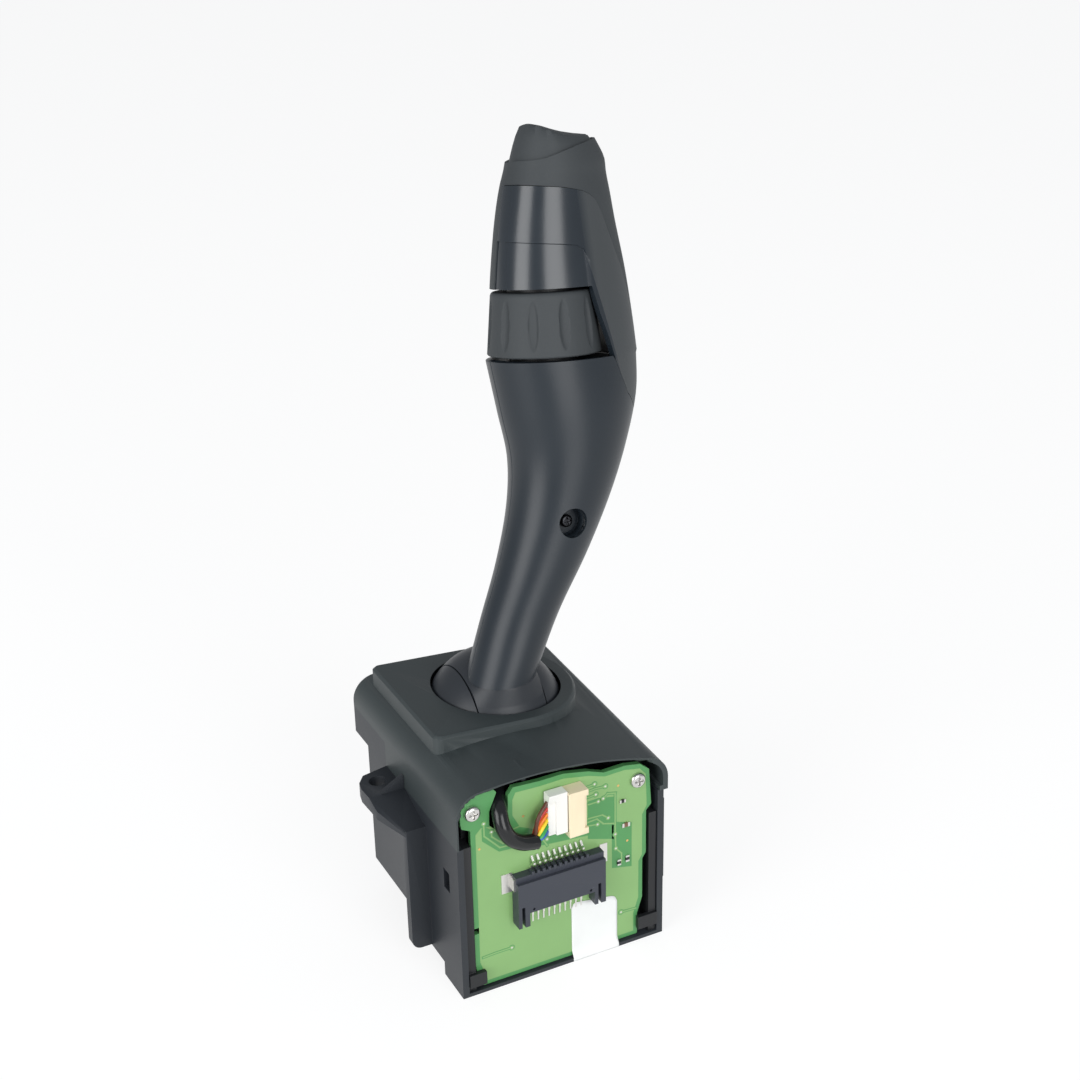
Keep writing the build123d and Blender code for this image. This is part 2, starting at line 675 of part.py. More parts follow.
# Board and the pieces on it
def board_outline():
    right = HOUSING_WIDTH
    rim = HOUSING_HEIGHT
    plan = Polygon(
        (7.2, FLOOR + 0.4),
        (5.7, 2.4),
        (BOARD_LEFT, 9.5),
        (BOARD_LEFT, rim + 4.5),
        (WALL + 0.2, rim + 5.8),
        (COVER_WALL + BOARD_CLEARANCE, rim + 7.6),
        (COVER_WALL + BOARD_CLEARANCE, rim + 13.5),
        (4.0, rim + 16.0),
        (11.5, rim + 16.6),
        (13.1, rim + 14.6),
        (10.7, rim + 9.0),
        (10.6, rim + 4.6),
        (12.0, rim + 2.2),
        (14.6, rim + 2.2),
        (16.3, rim + 5.0),
        (16.6, rim + 12.4),
        (18.2, rim + 14.6),
        (26.5, rim + 14.1),
        (right - 32.2, rim + 14.2),
        (right - 24.3, rim + 12.6),
        (right - 19.1, rim + 10.6),
        (right - 12.2, rim + 10.8),
        (right - 7.3, rim + 9.9),
        (right - 4.3, rim + 7.3),
        (right - 3.5, rim - 4.7),
        (right - BOARD_RIGHT, rim - 6.5),
        (right - BOARD_RIGHT, rim - 21.1),
        (right - 6.4, rim - 23.0),
        (right - 6.4, 14.4),
        (right - 8.1, 9.0),
        (right - 8.1, FLOOR + 0.4),
        align=None,
    )
    plan = fillet(plan.vertices(), 0.45)
    return plan & (cover_inside(COVER_WALL + BOARD_CLEARANCE) + Pos(HOUSING_WIDTH / 2, 0) * Rectangle(BIG, 110))


def screw_places():
    left = (LEFT_SCREW_FROM_WALL, HOUSING_HEIGHT + LEFT_SCREW_RISE)
    right = (HOUSING_WIDTH - RIGHT_SCREW_FROM_WALL, HOUSING_HEIGHT + RIGHT_SCREW_RISE)
    return [left, right]


def peg_places():
    left = (LEFT_PEG_FROM_WALL, LEFT_PEG_Z)
    right = (HOUSING_WIDTH - RIGHT_PEG_FROM_WALL, HOUSING_HEIGHT - RIGHT_PEG_DROP)
    return [left, right]


def circuit_board():
    board = front_prism(board_outline(), BOARD_FRONT_Y, BOARD_BACK_Y)
    for x, z in screw_places():
        board -= rod((x, -5, z), (x, 10, z), SCREW_SHANK_RADIUS + 0.2)
    for x, z in peg_places():
        board -= rod((x, -5, z), (x, 10, z), PEG_RADIUS + PEG_CLEARANCE)
    x, z = peg_places()[0]
    board -= block(0, x, -5, 10, z - 1.0, z + 1.0)
    return board


def board_screws():
    screws = []
    for x, z in screw_places():
        head = rod((x, BOARD_FRONT_Y - 1.5, z), (x, BOARD_FRONT_Y, z), SCREW_HEAD_RADIUS)
        head = fillet(head.edges().sort_by(Axis.Y)[0], 1.0)
        shank = rod((x, BOARD_FRONT_Y - 0.5, z), (x, BOARD_BACK_Y + 5, z), SCREW_SHANK_RADIUS)
        cross = block(x - 1.4, x + 1.4, -2, BOARD_FRONT_Y - 0.7, z - 0.35, z + 0.35)
        cross += block(x - 0.35, x + 0.35, -2, BOARD_FRONT_Y - 0.7, z - 1.4, z + 1.4)
        screws.append(head + shank - cross)
    return screws


def board_carrier():
    seat = BOARD_BACK_Y
    back = seat + 4.6
    margin = WALL + 0.15
    left, right = margin, HOUSING_WIDTH - margin
    low, high = FLOOR + 0.2, HOUSING_HEIGHT - 0.3
    plate = block(left, right, back - 1.6, back, low, high)
    window = block(left + 9, right - 9, back - 3, back + 1, low + 9, high - 7)
    frame = plate - window
    frame += block(left, BOARD_LEFT - BOARD_CLEARANCE, 0.6, back, low, high)
    frame += block(HOUSING_WIDTH - BOARD_RIGHT + 0.6, right, 0.6, back, low, HOUSING_HEIGHT - 7.4)
    for z in (13.0, HOUSING_HEIGHT - 11.0):
        frame -= block(left - 1, left + 1.1, 2.0, 6.0, z, z + 8)
        frame -= block(right - 1.1, right + 1, 2.0, 6.0, z - 9, z - 1)
    frame += block(left, 7.5, BOARD_FRONT_Y - 1.7, BOARD_FRONT_Y - BOARD_CLEARANCE, 3.2, 7.6)
    frame += block(left, BOARD_LEFT - BOARD_CLEARANCE, BOARD_FRONT_Y - 1.7, 2.0, 3.2, 7.6)
    frame += block(HOUSING_WIDTH - 8.6, right, BOARD_FRONT_Y - 1.7, BOARD_FRONT_Y - BOARD_CLEARANCE, 4.0, 8.4)
    frame += block(HOUSING_WIDTH - BOARD_RIGHT + 0.6, right, BOARD_FRONT_Y - 1.7, 2.0, 4.0, 8.4)
    for x, z in screw_places():
        frame += rod((x, seat, z), (x, back, z), 3.1)
        frame += block(x - 1.5, x + 1.5, back - 1.6, back, high - 2, z)
    for x, z in peg_places():
        frame += rod((x, BOARD_FRONT_Y + 0.4, z), (x, back, z), PEG_RADIUS)
    for x, z in screw_places():
        frame -= rod((x, seat - 1, z), (x, back + 1, z), SCREW_SHANK_RADIUS + 0.05)
    room = front_prism(
        cover_inside(COVER_WALL + 0.15) + Pos(HOUSING_WIDTH / 2, HOUSING_HEIGHT / 2) * Rectangle(
            HOUSING_WIDTH - 2 * margin + 0.02, HOUSING_HEIGHT + 4
        ),
        -5,
        20,
    )
    return frame & room


def edge_connector():
    right = CONNECTOR_LEFT + CONNECTOR_WIDTH
    front = BOARD_FRONT_Y - CONNECTOR_DEPTH
    back = BOARD_FRONT_Y
    body = block(CONNECTOR_LEFT, right, front, back, CONNECTOR_SHOULDER_Z, CONNECTOR_TOP)
    body -= block(CONNECTOR_LEFT - 1, right + 1, front - 1, front + 1.2, CONNECTOR_TOP - 1.8, CONNECTOR_TOP + 1)
    for x in (CONNECTOR_LEFT, right - CONNECTOR_ARM_WIDTH):
        arm = block(x, x + CONNECTOR_ARM_WIDTH, front, back - 0.1, CONNECTOR_ARM_Z, CONNECTOR_SHOULDER_Z)
        slot = block(x + 1.1, x + 2.1, front - 1, back - 0.9, CONNECTOR_ARM_Z - 1, CONNECTOR_SHOULDER_Z - 1.0)
        body += arm - slot
    inner_left = CONNECTOR_LEFT + CONNECTOR_ARM_WIDTH
    inner_right = right - CONNECTOR_ARM_WIDTH
    body += block(inner_left, inner_right, front, front + 1.1, CONNECTOR_PLATE_Z, CONNECTOR_SHOULDER_Z)
    body -= block(inner_left, inner_right, front + 1.1, back - 0.5, CONNECTOR_PLATE_Z - 1, CONNECTOR_TOP - 4)
    for x in (inner_left + 1.3, inner_right - 1.3):
        body -= rod((x, front - 1, CONNECTOR_PLATE_Z + 1.0), (x, front + 0.6, CONNECTOR_PLATE_Z + 1.0), 0.45)
    for index in range(PIN_COUNT):
        x = pin_x(index)
        half = CONTACT_WIDTH / 2 + 0.05
        body -= block(x - half, x + half, back - 0.51, back + 1, CONNECTOR_PLATE_Z - 5, CONNECTOR_TOP + 1)
    return body


def pin_x(index):
    middle = CONNECTOR_LEFT + CONNECTOR_WIDTH / 2
    return middle + PIN_PITCH * (index - (PIN_COUNT - 1) / 2)


def connector_pins():
    pins = []
    foot = BOARD_FRONT_Y
    for index in range(PIN_COUNT):
        x = pin_x(index)
        side = [
            (foot, CONNECTOR_ARM_Z + 0.6),
            (foot - 0.4, CONNECTOR_ARM_Z + 0.6),
            (foot - 0.4, CONNECTOR_TOP + 1.0),
            (foot - 2.2, CONNECTOR_TOP + 2.4),
            (foot - 2.2, CONNECTOR_TOP + 3.0),
            (foot - 1.4, CONNECTOR_TOP + 3.2),
            (foot - 0.4, CONNECTOR_TOP + 4.4),
            (foot, CONNECTOR_TOP + 4.4),
            (foot, CONNECTOR_TOP + 4.0),
            (foot - 1.2, CONNECTOR_TOP + 2.6),
            (foot, CONNECTOR_TOP + 1.2),
        ]
        pins.append(side_prism(side, x - CONTACT_WIDTH / 2, x + CONTACT_WIDTH / 2))
    return pins


def connector_tabs():
    right = CONNECTOR_LEFT + CONNECTOR_WIDTH
    tabs = []
    for x0, x1 in ((CONNECTOR_LEFT - 3.4, CONNECTOR_LEFT), (right, right + 2.5)):
        middle = CONNECTOR_SHOULDER_Z + 3.0
        flat = block(x0, x1, BOARD_FRONT_Y - 0.3, BOARD_FRONT_Y, middle, middle + 6.4)
        near = x1 - 0.5 if x1 <= CONNECTOR_LEFT else x0
        tabs.append(flat + block(near, near + 0.5, BOARD_FRONT_Y - 2.2, BOARD_FRONT_Y, middle + 1, middle + 5))
    return tabs


def harness_header():
    right = HEADER_LEFT + HEADER_WIDTH
    top = HEADER_BOTTOM + HEADER_HEIGHT
    front = BOARD_FRONT_Y - HEADER_DEPTH
    body = block(HEADER_LEFT, right, front, BOARD_FRONT_Y, HEADER_BOTTOM, top)
    body -= block(HEADER_LEFT - 1, HEADER_LEFT + 1.6, front + 0.8, BOARD_FRONT_Y + 1, HEADER_BOTTOM + 1.6, top - 0.9)
    body -= block(right - 1.2, right + 1, front - 1, front + 1.2, HEADER_BOTTOM + 2, top - 2)
    return body


def harness_plug():
    top = PLUG_BOTTOM + PLUG_HEIGHT
    front = BOARD_FRONT_Y - 0.5 - PLUG_DEPTH
    left = HEADER_LEFT - PLUG_WIDTH
    body = block(left, HEADER_LEFT - 0.05, front, front + PLUG_DEPTH, PLUG_BOTTOM, top)
    nose = block(
        HEADER_LEFT - 1, HEADER_LEFT + 1.4, front + 0.7, front + PLUG_DEPTH - 0.3, PLUG_BOTTOM + 0.2, top - 1.4
    )
    step = block(left - 1, left + 2.2, front - 1, front + 0.8, PLUG_BOTTOM - 1, top - 2.2)
    return body + nose - step


def wire_end(index):
    z = PLUG_BOTTOM + 1.4 + index * 1.9
    return (HEADER_LEFT - PLUG_WIDTH - WIRE_GAP, BOARD_FRONT_Y - 2.4, z)


def tube(points, radius, share):
    corners = []
    for before, here, after in zip(points, points[1:], points[2:]):
        first = Vector(*here) - Vector(*before)
        second = Vector(*after) - Vector(*here)
        turn = math.radians(first.get_angle(second))
        corners.append(share * min(first.length, second.length) / math.tan(turn / 2))
    path = FilletPolyline(*points, radius=corners)
    section = Plane(origin=path @ 0, z_dir=path % 0) * Circle(radius)
    return sweep(section, path=path)


SLEEVE_ROUTE = (
    (18.6, 12.6, 58.0),
    (17.4, 8.6, 61.8),
    (14.6, 4.4, 62.4),
    (13.3, 0.2, 60.0),
    (13.0, -2.2, 56.2),
    (14.8, -2.9, 52.2),
    (18.6, -2.8, 49.4),
    (23.4, -2.4, 48.2),
)


def harness_sleeve():
    return tube(SLEEVE_ROUTE, SLEEVE_RADIUS, 0.45)


def harness_wires():
    wires = []
    end = Vector(*SLEEVE_ROUTE[-1])
    along = (end - Vector(*SLEEVE_ROUTE[-2])).normalized()
    aside = along.cross(Vector(0, 1, 0)).normalized()
    for index in range(WIRE_COUNT):
        angle = math.radians(360 / WIRE_COUNT * index)
        start = end + (aside * math.cos(angle) + aside.cross(along) * math.sin(angle)) * 1.5
        target = Vector(*wire_end(index))
        bend = Vector(target.X - 1.6, (start.Y + target.Y) / 2, (start.Z + 2 * target.Z) / 3)
        path = Spline(start, bend, target, tangents=[along, Vector(1, 0, 0)])
        section = Plane(origin=start, z_dir=along) * Circle(WIRE_RADIUS)
        wires.append(sweep(section, path=path))
    return wires


def board_parts():
    chips = []
    for from_wall, drop, wide, tall in CHIPS:
        x = HOUSING_WIDTH - from_wall
        z = HOUSING_HEIGHT - drop
        chips.append(block(x, x + wide, BOARD_FRONT_Y - CHIP_HEIGHT, BOARD_FRONT_Y, z, z + tall))
    return chips


def sensor_chips():
    z = PIVOT.Z - MAGNET_ARM_DROP
    return [
        block(PIVOT.X - 7, PIVOT.X - 2, BOARD_BACK_Y, BOARD_BACK_Y + 1.2, z - 2.5, z + 2.5),
        block(PIVOT.X + 2, PIVOT.X + 7, BOARD_BACK_Y, BOARD_BACK_Y + 1.2, z - 2.5, z + 2.5),
    ]


# Grip of the lever: sections drawn level, one above the other
def station(row, inset):
    height, middle, wide, deep, sharp = row
    points = []
    for index in range(SECTION_POINTS):
        angle = 2 * math.pi * index / SECTION_POINTS
        across = middle + (wide - inset) * math.cos(angle)
        depth = (deep - inset) * math.sin(angle) * (1 - sharp * math.cos(angle))
        points.append((across, depth, height))
    return Face(Wire(Spline(*points, periodic=True)))


def form(rows, inset):
    return loft([station(row, inset) for row in rows])


def lever_slab(low, high):
    return block(-BIG, BIG, -BIG, BIG, low, high)


def ring_cone(foot_radius, top_radius, low, high):
    seat = (Align.CENTER, Align.CENTER, Align.MIN)
    return RING_AXIS * Pos(0, 0, low) * Cone(foot_radius, top_radius, high - low, align=seat)


def ring_rod(radius, low, high):
    seat = (Align.CENTER, Align.CENTER, Align.MIN)
    return RING_AXIS * Pos(0, 0, low) * Cylinder(radius, high - low, align=seat)


def above_ring_plane(height):
    return RING_AXIS * Pos(0, 0, height + BIG / 2) * Box(BIG, BIG, BIG)


def level_line(left_height, right_height):
    # A wedge that keeps what lies above a line drawn from the grip's left to its right
    points = [(-BIG, left_height), (22.0, left_height), (50.0, right_height), (BIG, right_height), (BIG, BIG), (-BIG, BIG)]
    return front_prism(Polygon(*points, align=None), -BIG / 2, BIG / 2)


def right_of_edge():
    # What lies right of the strip's front edge beside the ring
    slope = (STRIP_EDGE_TOP - STRIP_EDGE_FOOT) / 20.0
    foot = STRIP_EDGE_FOOT - slope * 40
    top = STRIP_EDGE_FOOT + slope * 80
    points = [(foot, SHELL_TOP - 40), (BIG, SHELL_TOP - 40), (BIG, SHELL_TOP + 80), (top, SHELL_TOP + 80)]
    return front_prism(Polygon(*points, align=None), -BIG / 2, BIG / 2)


def tongue_region():
    # The front tongue narrows from the strip's edge to a point on the grip's right side
    high = SHELL_TOP + 2
    points = [(STRIP_EDGE_FOOT, high), *TONGUE_EDGE, (BIG, TONGUE_EDGE[-1][1]), (BIG, high)]
    return front_prism(Polygon(*points, align=None), -BIG / 2, 0)


GRIP_OUTER = form(GRIP, 0.0)
GRIP_INNER = form(GRIP, SHELL_WALL)
HEAD_OUTER = form(HEAD, 0.0)
HEAD_INNER = form(HEAD, SHELL_WALL)
COLLAR_OUTER = form(COLLAR, 0.0)
COLLAR_INNER = form(COLLAR, COLLAR_WALL)
FRONT_HALF = block(-BIG, BIG, -BIG, 0, -BIG, BIG)
RING_ROOM = ring_cone(RING_FOOT_RADIUS + 1.6, RING_TOP_RADIUS + 1.0, -RING_GAP, RING_HEIGHT + RING_GAP)


def grip_hollow():
    floor = above_ring_plane(-RING_GAP - SHELL_LID)
    return GRIP_INNER - floor


def grip_shell():
    shell = GRIP_OUTER - above_ring_plane(-RING_GAP) - grip_hollow()
    shell -= ring_rod(CORE_RADIUS + 0.1, -RING_GAP - SHELL_LID - 1, 5)
    return shell


GRIP_SHELL = grip_shell()
TONGUE = (GRIP_OUTER & tongue_region()) - GRIP_INNER


def screw_well():
    x = 22.9
    deep = SCREW_WELL_DEPTH
    return x, -13.4 + deep


def above_neck(shell):
    below = block(-BIG, BIG, -BIG, BIG, -BIG, PIVOT.Z + NECK_RING_RISE + NECK_SEAM)
    return shell - ball(BALL_RADIUS + NECK_GAP) - below


def lever_front_shell():
    shell = (GRIP_SHELL & FRONT_HALF) - TONGUE
    x, bottom = screw_well()
    wall = rod((x, -14.0, SCREW_WELL_HEIGHT), (x, bottom + 1.6, SCREW_WELL_HEIGHT), SCREW_WELL_RADIUS + 1.4)
    shell += wall & GRIP_OUTER & FRONT_HALF
    shell -= rod((x, -30, SCREW_WELL_HEIGHT), (x, bottom, SCREW_WELL_HEIGHT), SCREW_WELL_RADIUS)
    shell -= rod((x, -30, SCREW_WELL_HEIGHT), (x, 5, SCREW_WELL_HEIGHT), 1.3)
    return above_neck(LEVER * shell)


def lever_back_shell():
    shell = GRIP_SHELL - FRONT_HALF
    x, bottom = screw_well()
    boss = rod((x, 0.1, SCREW_WELL_HEIGHT), (x, 14.0, SCREW_WELL_HEIGHT), 3.2) & GRIP_OUTER
    boss += rod((x, bottom + 1.65, SCREW_WELL_HEIGHT), (x, 0.2, SCREW_WELL_HEIGHT), 3.2)
    shell += boss
    shell -= rod((x, bottom, SCREW_WELL_HEIGHT), (x, 8, SCREW_WELL_HEIGHT), 1.05)
    return above_neck(LEVER * shell)


def shell_screw():
    x, bottom = screw_well()
    head = rod((x, bottom - 1.5, SCREW_WELL_HEIGHT), (x, bottom, SCREW_WELL_HEIGHT), SHELL_SCREW_RADIUS)
    head = fillet(head.edges().sort_by(Axis.Y)[0], 0.8)
    shank = rod((x, bottom - 0.5, SCREW_WELL_HEIGHT), (x, 7.5, SCREW_WELL_HEIGHT), 1.0)
    depth = bottom - 0.8
    height = SCREW_WELL_HEIGHT
    cross = block(x - 1.2, x + 1.2, bottom - 3, depth, height - 0.3, height + 0.3)
    cross += block(x - 0.3, x + 0.3, bottom - 3, depth, height - 1.2, height + 1.2)
    return LEVER * (head + shank - cross)


# Rotary ring and the core it turns on
def flute_cutters():
    cutters = []
    for index in range(FLUTE_COUNT):
        middle_radius = (RING_FOOT_RADIUS + RING_TOP_RADIUS) / 2
        lean = math.degrees(math.atan2(RING_FOOT_RADIUS - RING_TOP_RADIUS, RING_HEIGHT))
        reach = middle_radius + 1.6 - FLUTE_DEPTH
        shape = Rot(0, -lean, 0) * scale(Sphere(1), (1.6, 1.5, FLUTE_RADIUS * 0.8))
        cutters.append(Rot(0, 0, FLUTE_START + 360 / FLUTE_COUNT * index) * Pos(reach, 0, RING_HEIGHT / 2) * shape)
    return cutters


def rotary_ring():
    seat = (Align.CENTER, Align.CENTER, Align.MIN)
    ring = Cone(RING_FOOT_RADIUS, RING_TOP_RADIUS, RING_HEIGHT, align=seat)
    ring = fillet(ring.edges().filter_by(GeomType.CIRCLE), 0.7)
    ring -= Pos(0, 0, 1.8) * Cone(
        RING_FOOT_RADIUS - RING_WALL - 0.2, RING_TOP_RADIUS - RING_WALL, RING_HEIGHT - 3.6, align=seat
    )
    ring -= Pos(0, 0, -1) * Cylinder(CORE_RADIUS + CORE_CLEARANCE, RING_HEIGHT + 2, align=seat)
    for cutter in flute_cutters():
        ring -= cutter
    return LEVER * (RING_AXIS * ring)


def ring_core():
    foot = -RING_GAP - SHELL_LID - 8
    top = RING_HEIGHT + RING_GAP + 6
    core = ring_rod(CORE_RADIUS, foot, top) - ring_rod(CORE_RADIUS - CORE_WALL, foot - 1, top + 1)
    flange = ring_rod(CORE_RADIUS + 1.8, -RING_GAP - SHELL_LID - 2.6, -RING_GAP - SHELL_LID - 0.1)
    flange -= ring_rod(CORE_RADIUS - CORE_WALL, foot, top)
    window = RING_AXIS * (Pos(0, -CORE_RADIUS, RING_HEIGHT / 2) * Box(6, 8, 5))
    return LEVER * (core + flange - window)


def ring_contact_board():
    card = RING_AXIS * (Pos(0, -5.2, RING_HEIGHT / 2) * Box(9, 1.0, RING_HEIGHT + 8))
    return LEVER * card


# Covers of the head
def head_shell():
    hollow = HEAD_INNER & above_ring_plane(RING_HEIGHT + RING_GAP + 2.0)
    hollow += ring_rod(CORE_RADIUS + 0.1, -5, RING_HEIGHT + 12)
    shell = (HEAD_OUTER & lever_slab(SHELL_TOP - 3, HEAD_TOP)) - hollow
    beside = HEAD_OUTER & right_of_edge()
    beside -= HEAD_INNER
    upper = shell & above_ring_plane(RING_HEIGHT + RING_GAP)
    lower = beside & above_ring_plane(-RING_GAP + 0.05)
    lower -= above_ring_plane(RING_HEIGHT + RING_GAP)
    return upper + (lower - RING_ROOM)


HEAD_SHELL = head_shell()


def front_region():
    # The front piece meets the back piece on the left at the middle and on the right at a groove
    points = [(-BIG, 0), (30.0, 0), (46.0, -GROOVE_Y), (BIG, -GROOVE_Y), (BIG, -BIG), (-BIG, -BIG)]
    return flat_prism(Polygon(*points, align=None), -BIG, BIG)


def upper_cover():
    cover = HEAD_SHELL & front_region()
    skin = (HEAD_OUTER - form(HEAD, BAND_RECESS)) & lever_slab(100, BAND_STEP)
    skin -= right_of_edge()
    cover -= skin
    return LEVER * (cover + (TONGUE - above_ring_plane(-RING_GAP + 0.05)))


def rim_cut():
    return level_line(RIM_LEFT, RIM_RIGHT)


def pin_axle(radius, cover):
    # The axle of the button, as far as the collar's wall covers its ends
    x, height = BUTTON_PIN_AT
    return rod((x, -BIG / 2, height), (x, BIG / 2, height), radius) & form(COLLAR, cover)


def spine_cover():
    spine = HEAD_SHELL - front_region()
    collar = COLLAR_OUTER - COLLAR_INNER - rim_cut()
    plate = COLLAR_OUTER & lever_slab(HEAD_TOP, HEAD_TOP + COLLAR_FLOOR)
    plate -= ring_rod(6.0, 20, 80)
    return LEVER * (spine + collar + plate - pin_axle(BUTTON_PIN_RADIUS, PIN_COVER))


def button_pin():
    return LEVER * pin_axle(BUTTON_PIN_RADIUS, PIN_COVER + PIN_CLEARANCE)


def button_ceiling():
    return RIM_LEFT - 1.0


def tip_button():
    top = [
        (20.0, BUTTON_FOOT),
        (20.0, RIM_LEFT - 1.0),
        (24.0, RIM_LEFT - 0.5),
        (BUTTON_PEAK_X - 2.6, BUTTON_PEAK - 1.8),
        (BUTTON_PEAK_X, BUTTON_PEAK),
        (BUTTON_PEAK_X + 5, BUTTON_PEAK - 1.6),
        (BUTTON_PEAK_X + 11.5, BUTTON_PEAK - 3.6),
        (BUTTON_PEAK_X + 18.0, BUTTON_PEAK - 4.2),
        (BUTTON_PEAK_X + 20.0, RIM_RIGHT - 0.6),
        (BUTTON_PEAK_X + 20.0, BUTTON_FOOT),
    ]
    body = front_prism(Polygon(*top, align=None), -BUTTON_HALF, BUTTON_HALF)
    tall = (COLLAR[0], COLLAR[1], COLLAR[2], (158.0, 35.4, 11.0, 10.2, 0.2))
    body &= form(tall, COLLAR_WALL + BUTTON_GAP)
    hollow = form(tall, COLLAR_WALL + BUTTON_GAP + 1.6) & lever_slab(BUTTON_FOOT - 1, button_ceiling())
    hollow -= block(BUTTON_PIN_AT[0] - 2.6, BIG, -BIG, BIG, 0, BIG)
    body -= hollow
    body -= pin_axle(BUTTON_PIN_RADIUS + PIN_CLEARANCE, PIN_COVER)
    return LEVER * body


def tip_switch():
    low = HEAD_TOP + COLLAR_FLOOR + TIP_BOARD
    middle = BUTTON_PEAK_X + 1.0
    base = block(middle - 3, middle + 3, -3, 3, low, low + 1.9)
    fall = (BUTTON_PIN_AT[0] - middle) * math.sin(math.radians(BUTTON_TRAVEL))
    stem = rod((middle, 0, low + 1.9), (middle, 0, button_ceiling() - fall - RUNNING_GAP), 1.4)
    return LEVER * (base + stem)


def tip_board():
    low = HEAD_TOP + COLLAR_FLOOR
    middle = BUTTON_PEAK_X + TIP_BOARD_SHIFT
    along, aside = TIP_BOARD_HALF
    return LEVER * block(middle - along, middle + along, -aside, aside, low, low + TIP_BOARD)


def lever_lead():
    route = (
        (6.0, 0, 12.0),
        (13.2, 0.6, 27.0),
        (16.4, 1.0, 42.0),
        (24.6, 1.6, 58.0),
        (28.4, 1.8, 76.0),
        (27.7, 1.4, 104.0),
        (29.2, 1.0, 136.0),
    )
    return LEVER * tube(route, 1.4, 0.45)


def write(name, solids):
    group = solids if isinstance(solids, (list, tuple)) else [solids]
    shift = Pos(-ORIGIN.X, -ORIGIN.Y, -ORIGIN.Z)
    moved = []
    for entry in group:
        moved.extend((shift * entry).solids())
    export_step(moved[0] if len(moved) == 1 else Compound(children=moved), f"parts/{name}.step")


os.makedirs("parts", exist_ok=True)
SCREWS = frame_screws()
write("main_housing", main_housing())
write("top_cover", top_cover())
write("bearing_frame", drill(bearing_frame(), SCREWS, 0.02))
write("detent_dish", drill(detent_dish(), SCREWS, 0.1))
write("frame_screws", SCREWS)
write("gimbal_dome", gimbal_dome())
write("gimbal_pins", gimbal_pins())
write("cross_pins", cross_pins())
write("slide_strip", slide_strip())
write("lever_arm", lever_arm())
write("lever_magnet", lever_magnet())
write("detent_plunger", detent_plunger())
write("detent_spring", detent_spring())
write("circuit_board", circuit_board())
write("board_screws", board_screws())
write("board_carrier", board_carrier())
write("edge_connector", edge_connector())
write("connector_pins", connector_pins())
write("connector_tabs", connector_tabs())
write("harness_header", harness_header())
write("harness_plug", harness_plug())
write("harness_sleeve", harness_sleeve())
write("harness_wires", harness_wires())
write("board_parts", board_parts())
write("sensor_chips", sensor_chips())
write("lever_front_shell", lever_front_shell())
write("lever_back_shell", lever_back_shell())
write("shell_screw", shell_screw())
write("rotary_ring", rotary_ring())
write("ring_core", ring_core())
write("ring_contact_board", ring_contact_board())
write("upper_cover", upper_cover())
write("spine_cover", spine_cover())
write("button_pin", button_pin())
write("tip_button", tip_button())
write("tip_switch", tip_switch())
write("tip_board", tip_board())
write("lever_lead", lever_lead())
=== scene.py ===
import math

import bmesh
import bpy
from mathutils import Matrix, Vector


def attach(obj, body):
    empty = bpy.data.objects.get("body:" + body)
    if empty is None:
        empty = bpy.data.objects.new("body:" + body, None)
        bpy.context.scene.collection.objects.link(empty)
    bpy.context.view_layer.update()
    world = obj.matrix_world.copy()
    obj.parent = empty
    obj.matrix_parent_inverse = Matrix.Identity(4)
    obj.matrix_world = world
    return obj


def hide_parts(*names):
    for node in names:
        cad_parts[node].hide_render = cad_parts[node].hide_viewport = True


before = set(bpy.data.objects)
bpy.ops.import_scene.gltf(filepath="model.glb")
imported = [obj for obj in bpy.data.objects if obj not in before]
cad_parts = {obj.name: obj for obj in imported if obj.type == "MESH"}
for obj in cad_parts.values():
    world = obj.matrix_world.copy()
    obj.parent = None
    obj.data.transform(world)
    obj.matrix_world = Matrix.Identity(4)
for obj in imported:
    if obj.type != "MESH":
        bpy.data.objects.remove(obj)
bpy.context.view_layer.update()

bl_info = {
    "name": "Combination stalk switch",
    "version": (1, 0, 0),
    "blender": (4, 5, 0),
    "location": "3D View > Sidebar > Stalk Switch",
    "description": "Dresses the stalk switch: grip, ring, head, housing, circuit board and its leads",
    "category": "Add Mesh",
}

MM = 0.001

# Places in millimetres, from the mouth of the ear's bore: the lever's neck, and the housing's lower left
# front corner
NECK = Vector((39.5, -3.4, 27.0))
LEAN_BACK = math.radians(12.5)
BOX_CORNER = Vector((5.5, -43.8, -51.0))

# Grip and head: height, middle, half width, half depth, how much sharper the right side is
GRIP_SECTIONS = (
    (-9.0, -4.4, 10.4, 10.4, 0.0),
    (0.0, 0.0, 10.8, 10.6, 0.0),
    (16.0, 8.2, 12.0, 10.8, 0.0),
    (32.0, 17.6, 13.9, 12.3, 0.0),
    (48.0, 25.3, 15.8, 14.2, 0.0),
    (62.0, 30.0, 18.1, 15.6, 0.05),
    (76.0, 32.0, 21.4, 16.4, 0.1),
    (90.0, 32.2, 23.0, 16.6, 0.15),
)
HEAD_SECTIONS = (
    (87.0, 32.3, 23.0, 16.6, 0.15),
    (98.0, 33.0, 22.1, 15.7, 0.16),
    (112.0, 33.75, 20.65, 14.5, 0.18),
    (126.0, 34.45, 18.45, 13.4, 0.18),
    (141.0, 35.9, 16.1, 12.3, 0.2),
)
# Under this height the head's front follows the grip's sections
HEAD_FOOT = 88.0
# The matte back and collar: on the head as far as the band's top, then drawn in to the rim
MATTE_SECTIONS = HEAD_SECTIONS[:4] + (
    (134.0, 35.2, 17.1, 12.7, 0.19),
    (139.5, 35.85, 15.95, 12.1, 0.2),
    (144.0, 36.7, 14.9, 11.9, 0.2),
    (151.0, 36.2, 12.4, 11.0, 0.2),
    (158.0, 35.4, 11.0, 10.2, 0.2),
)
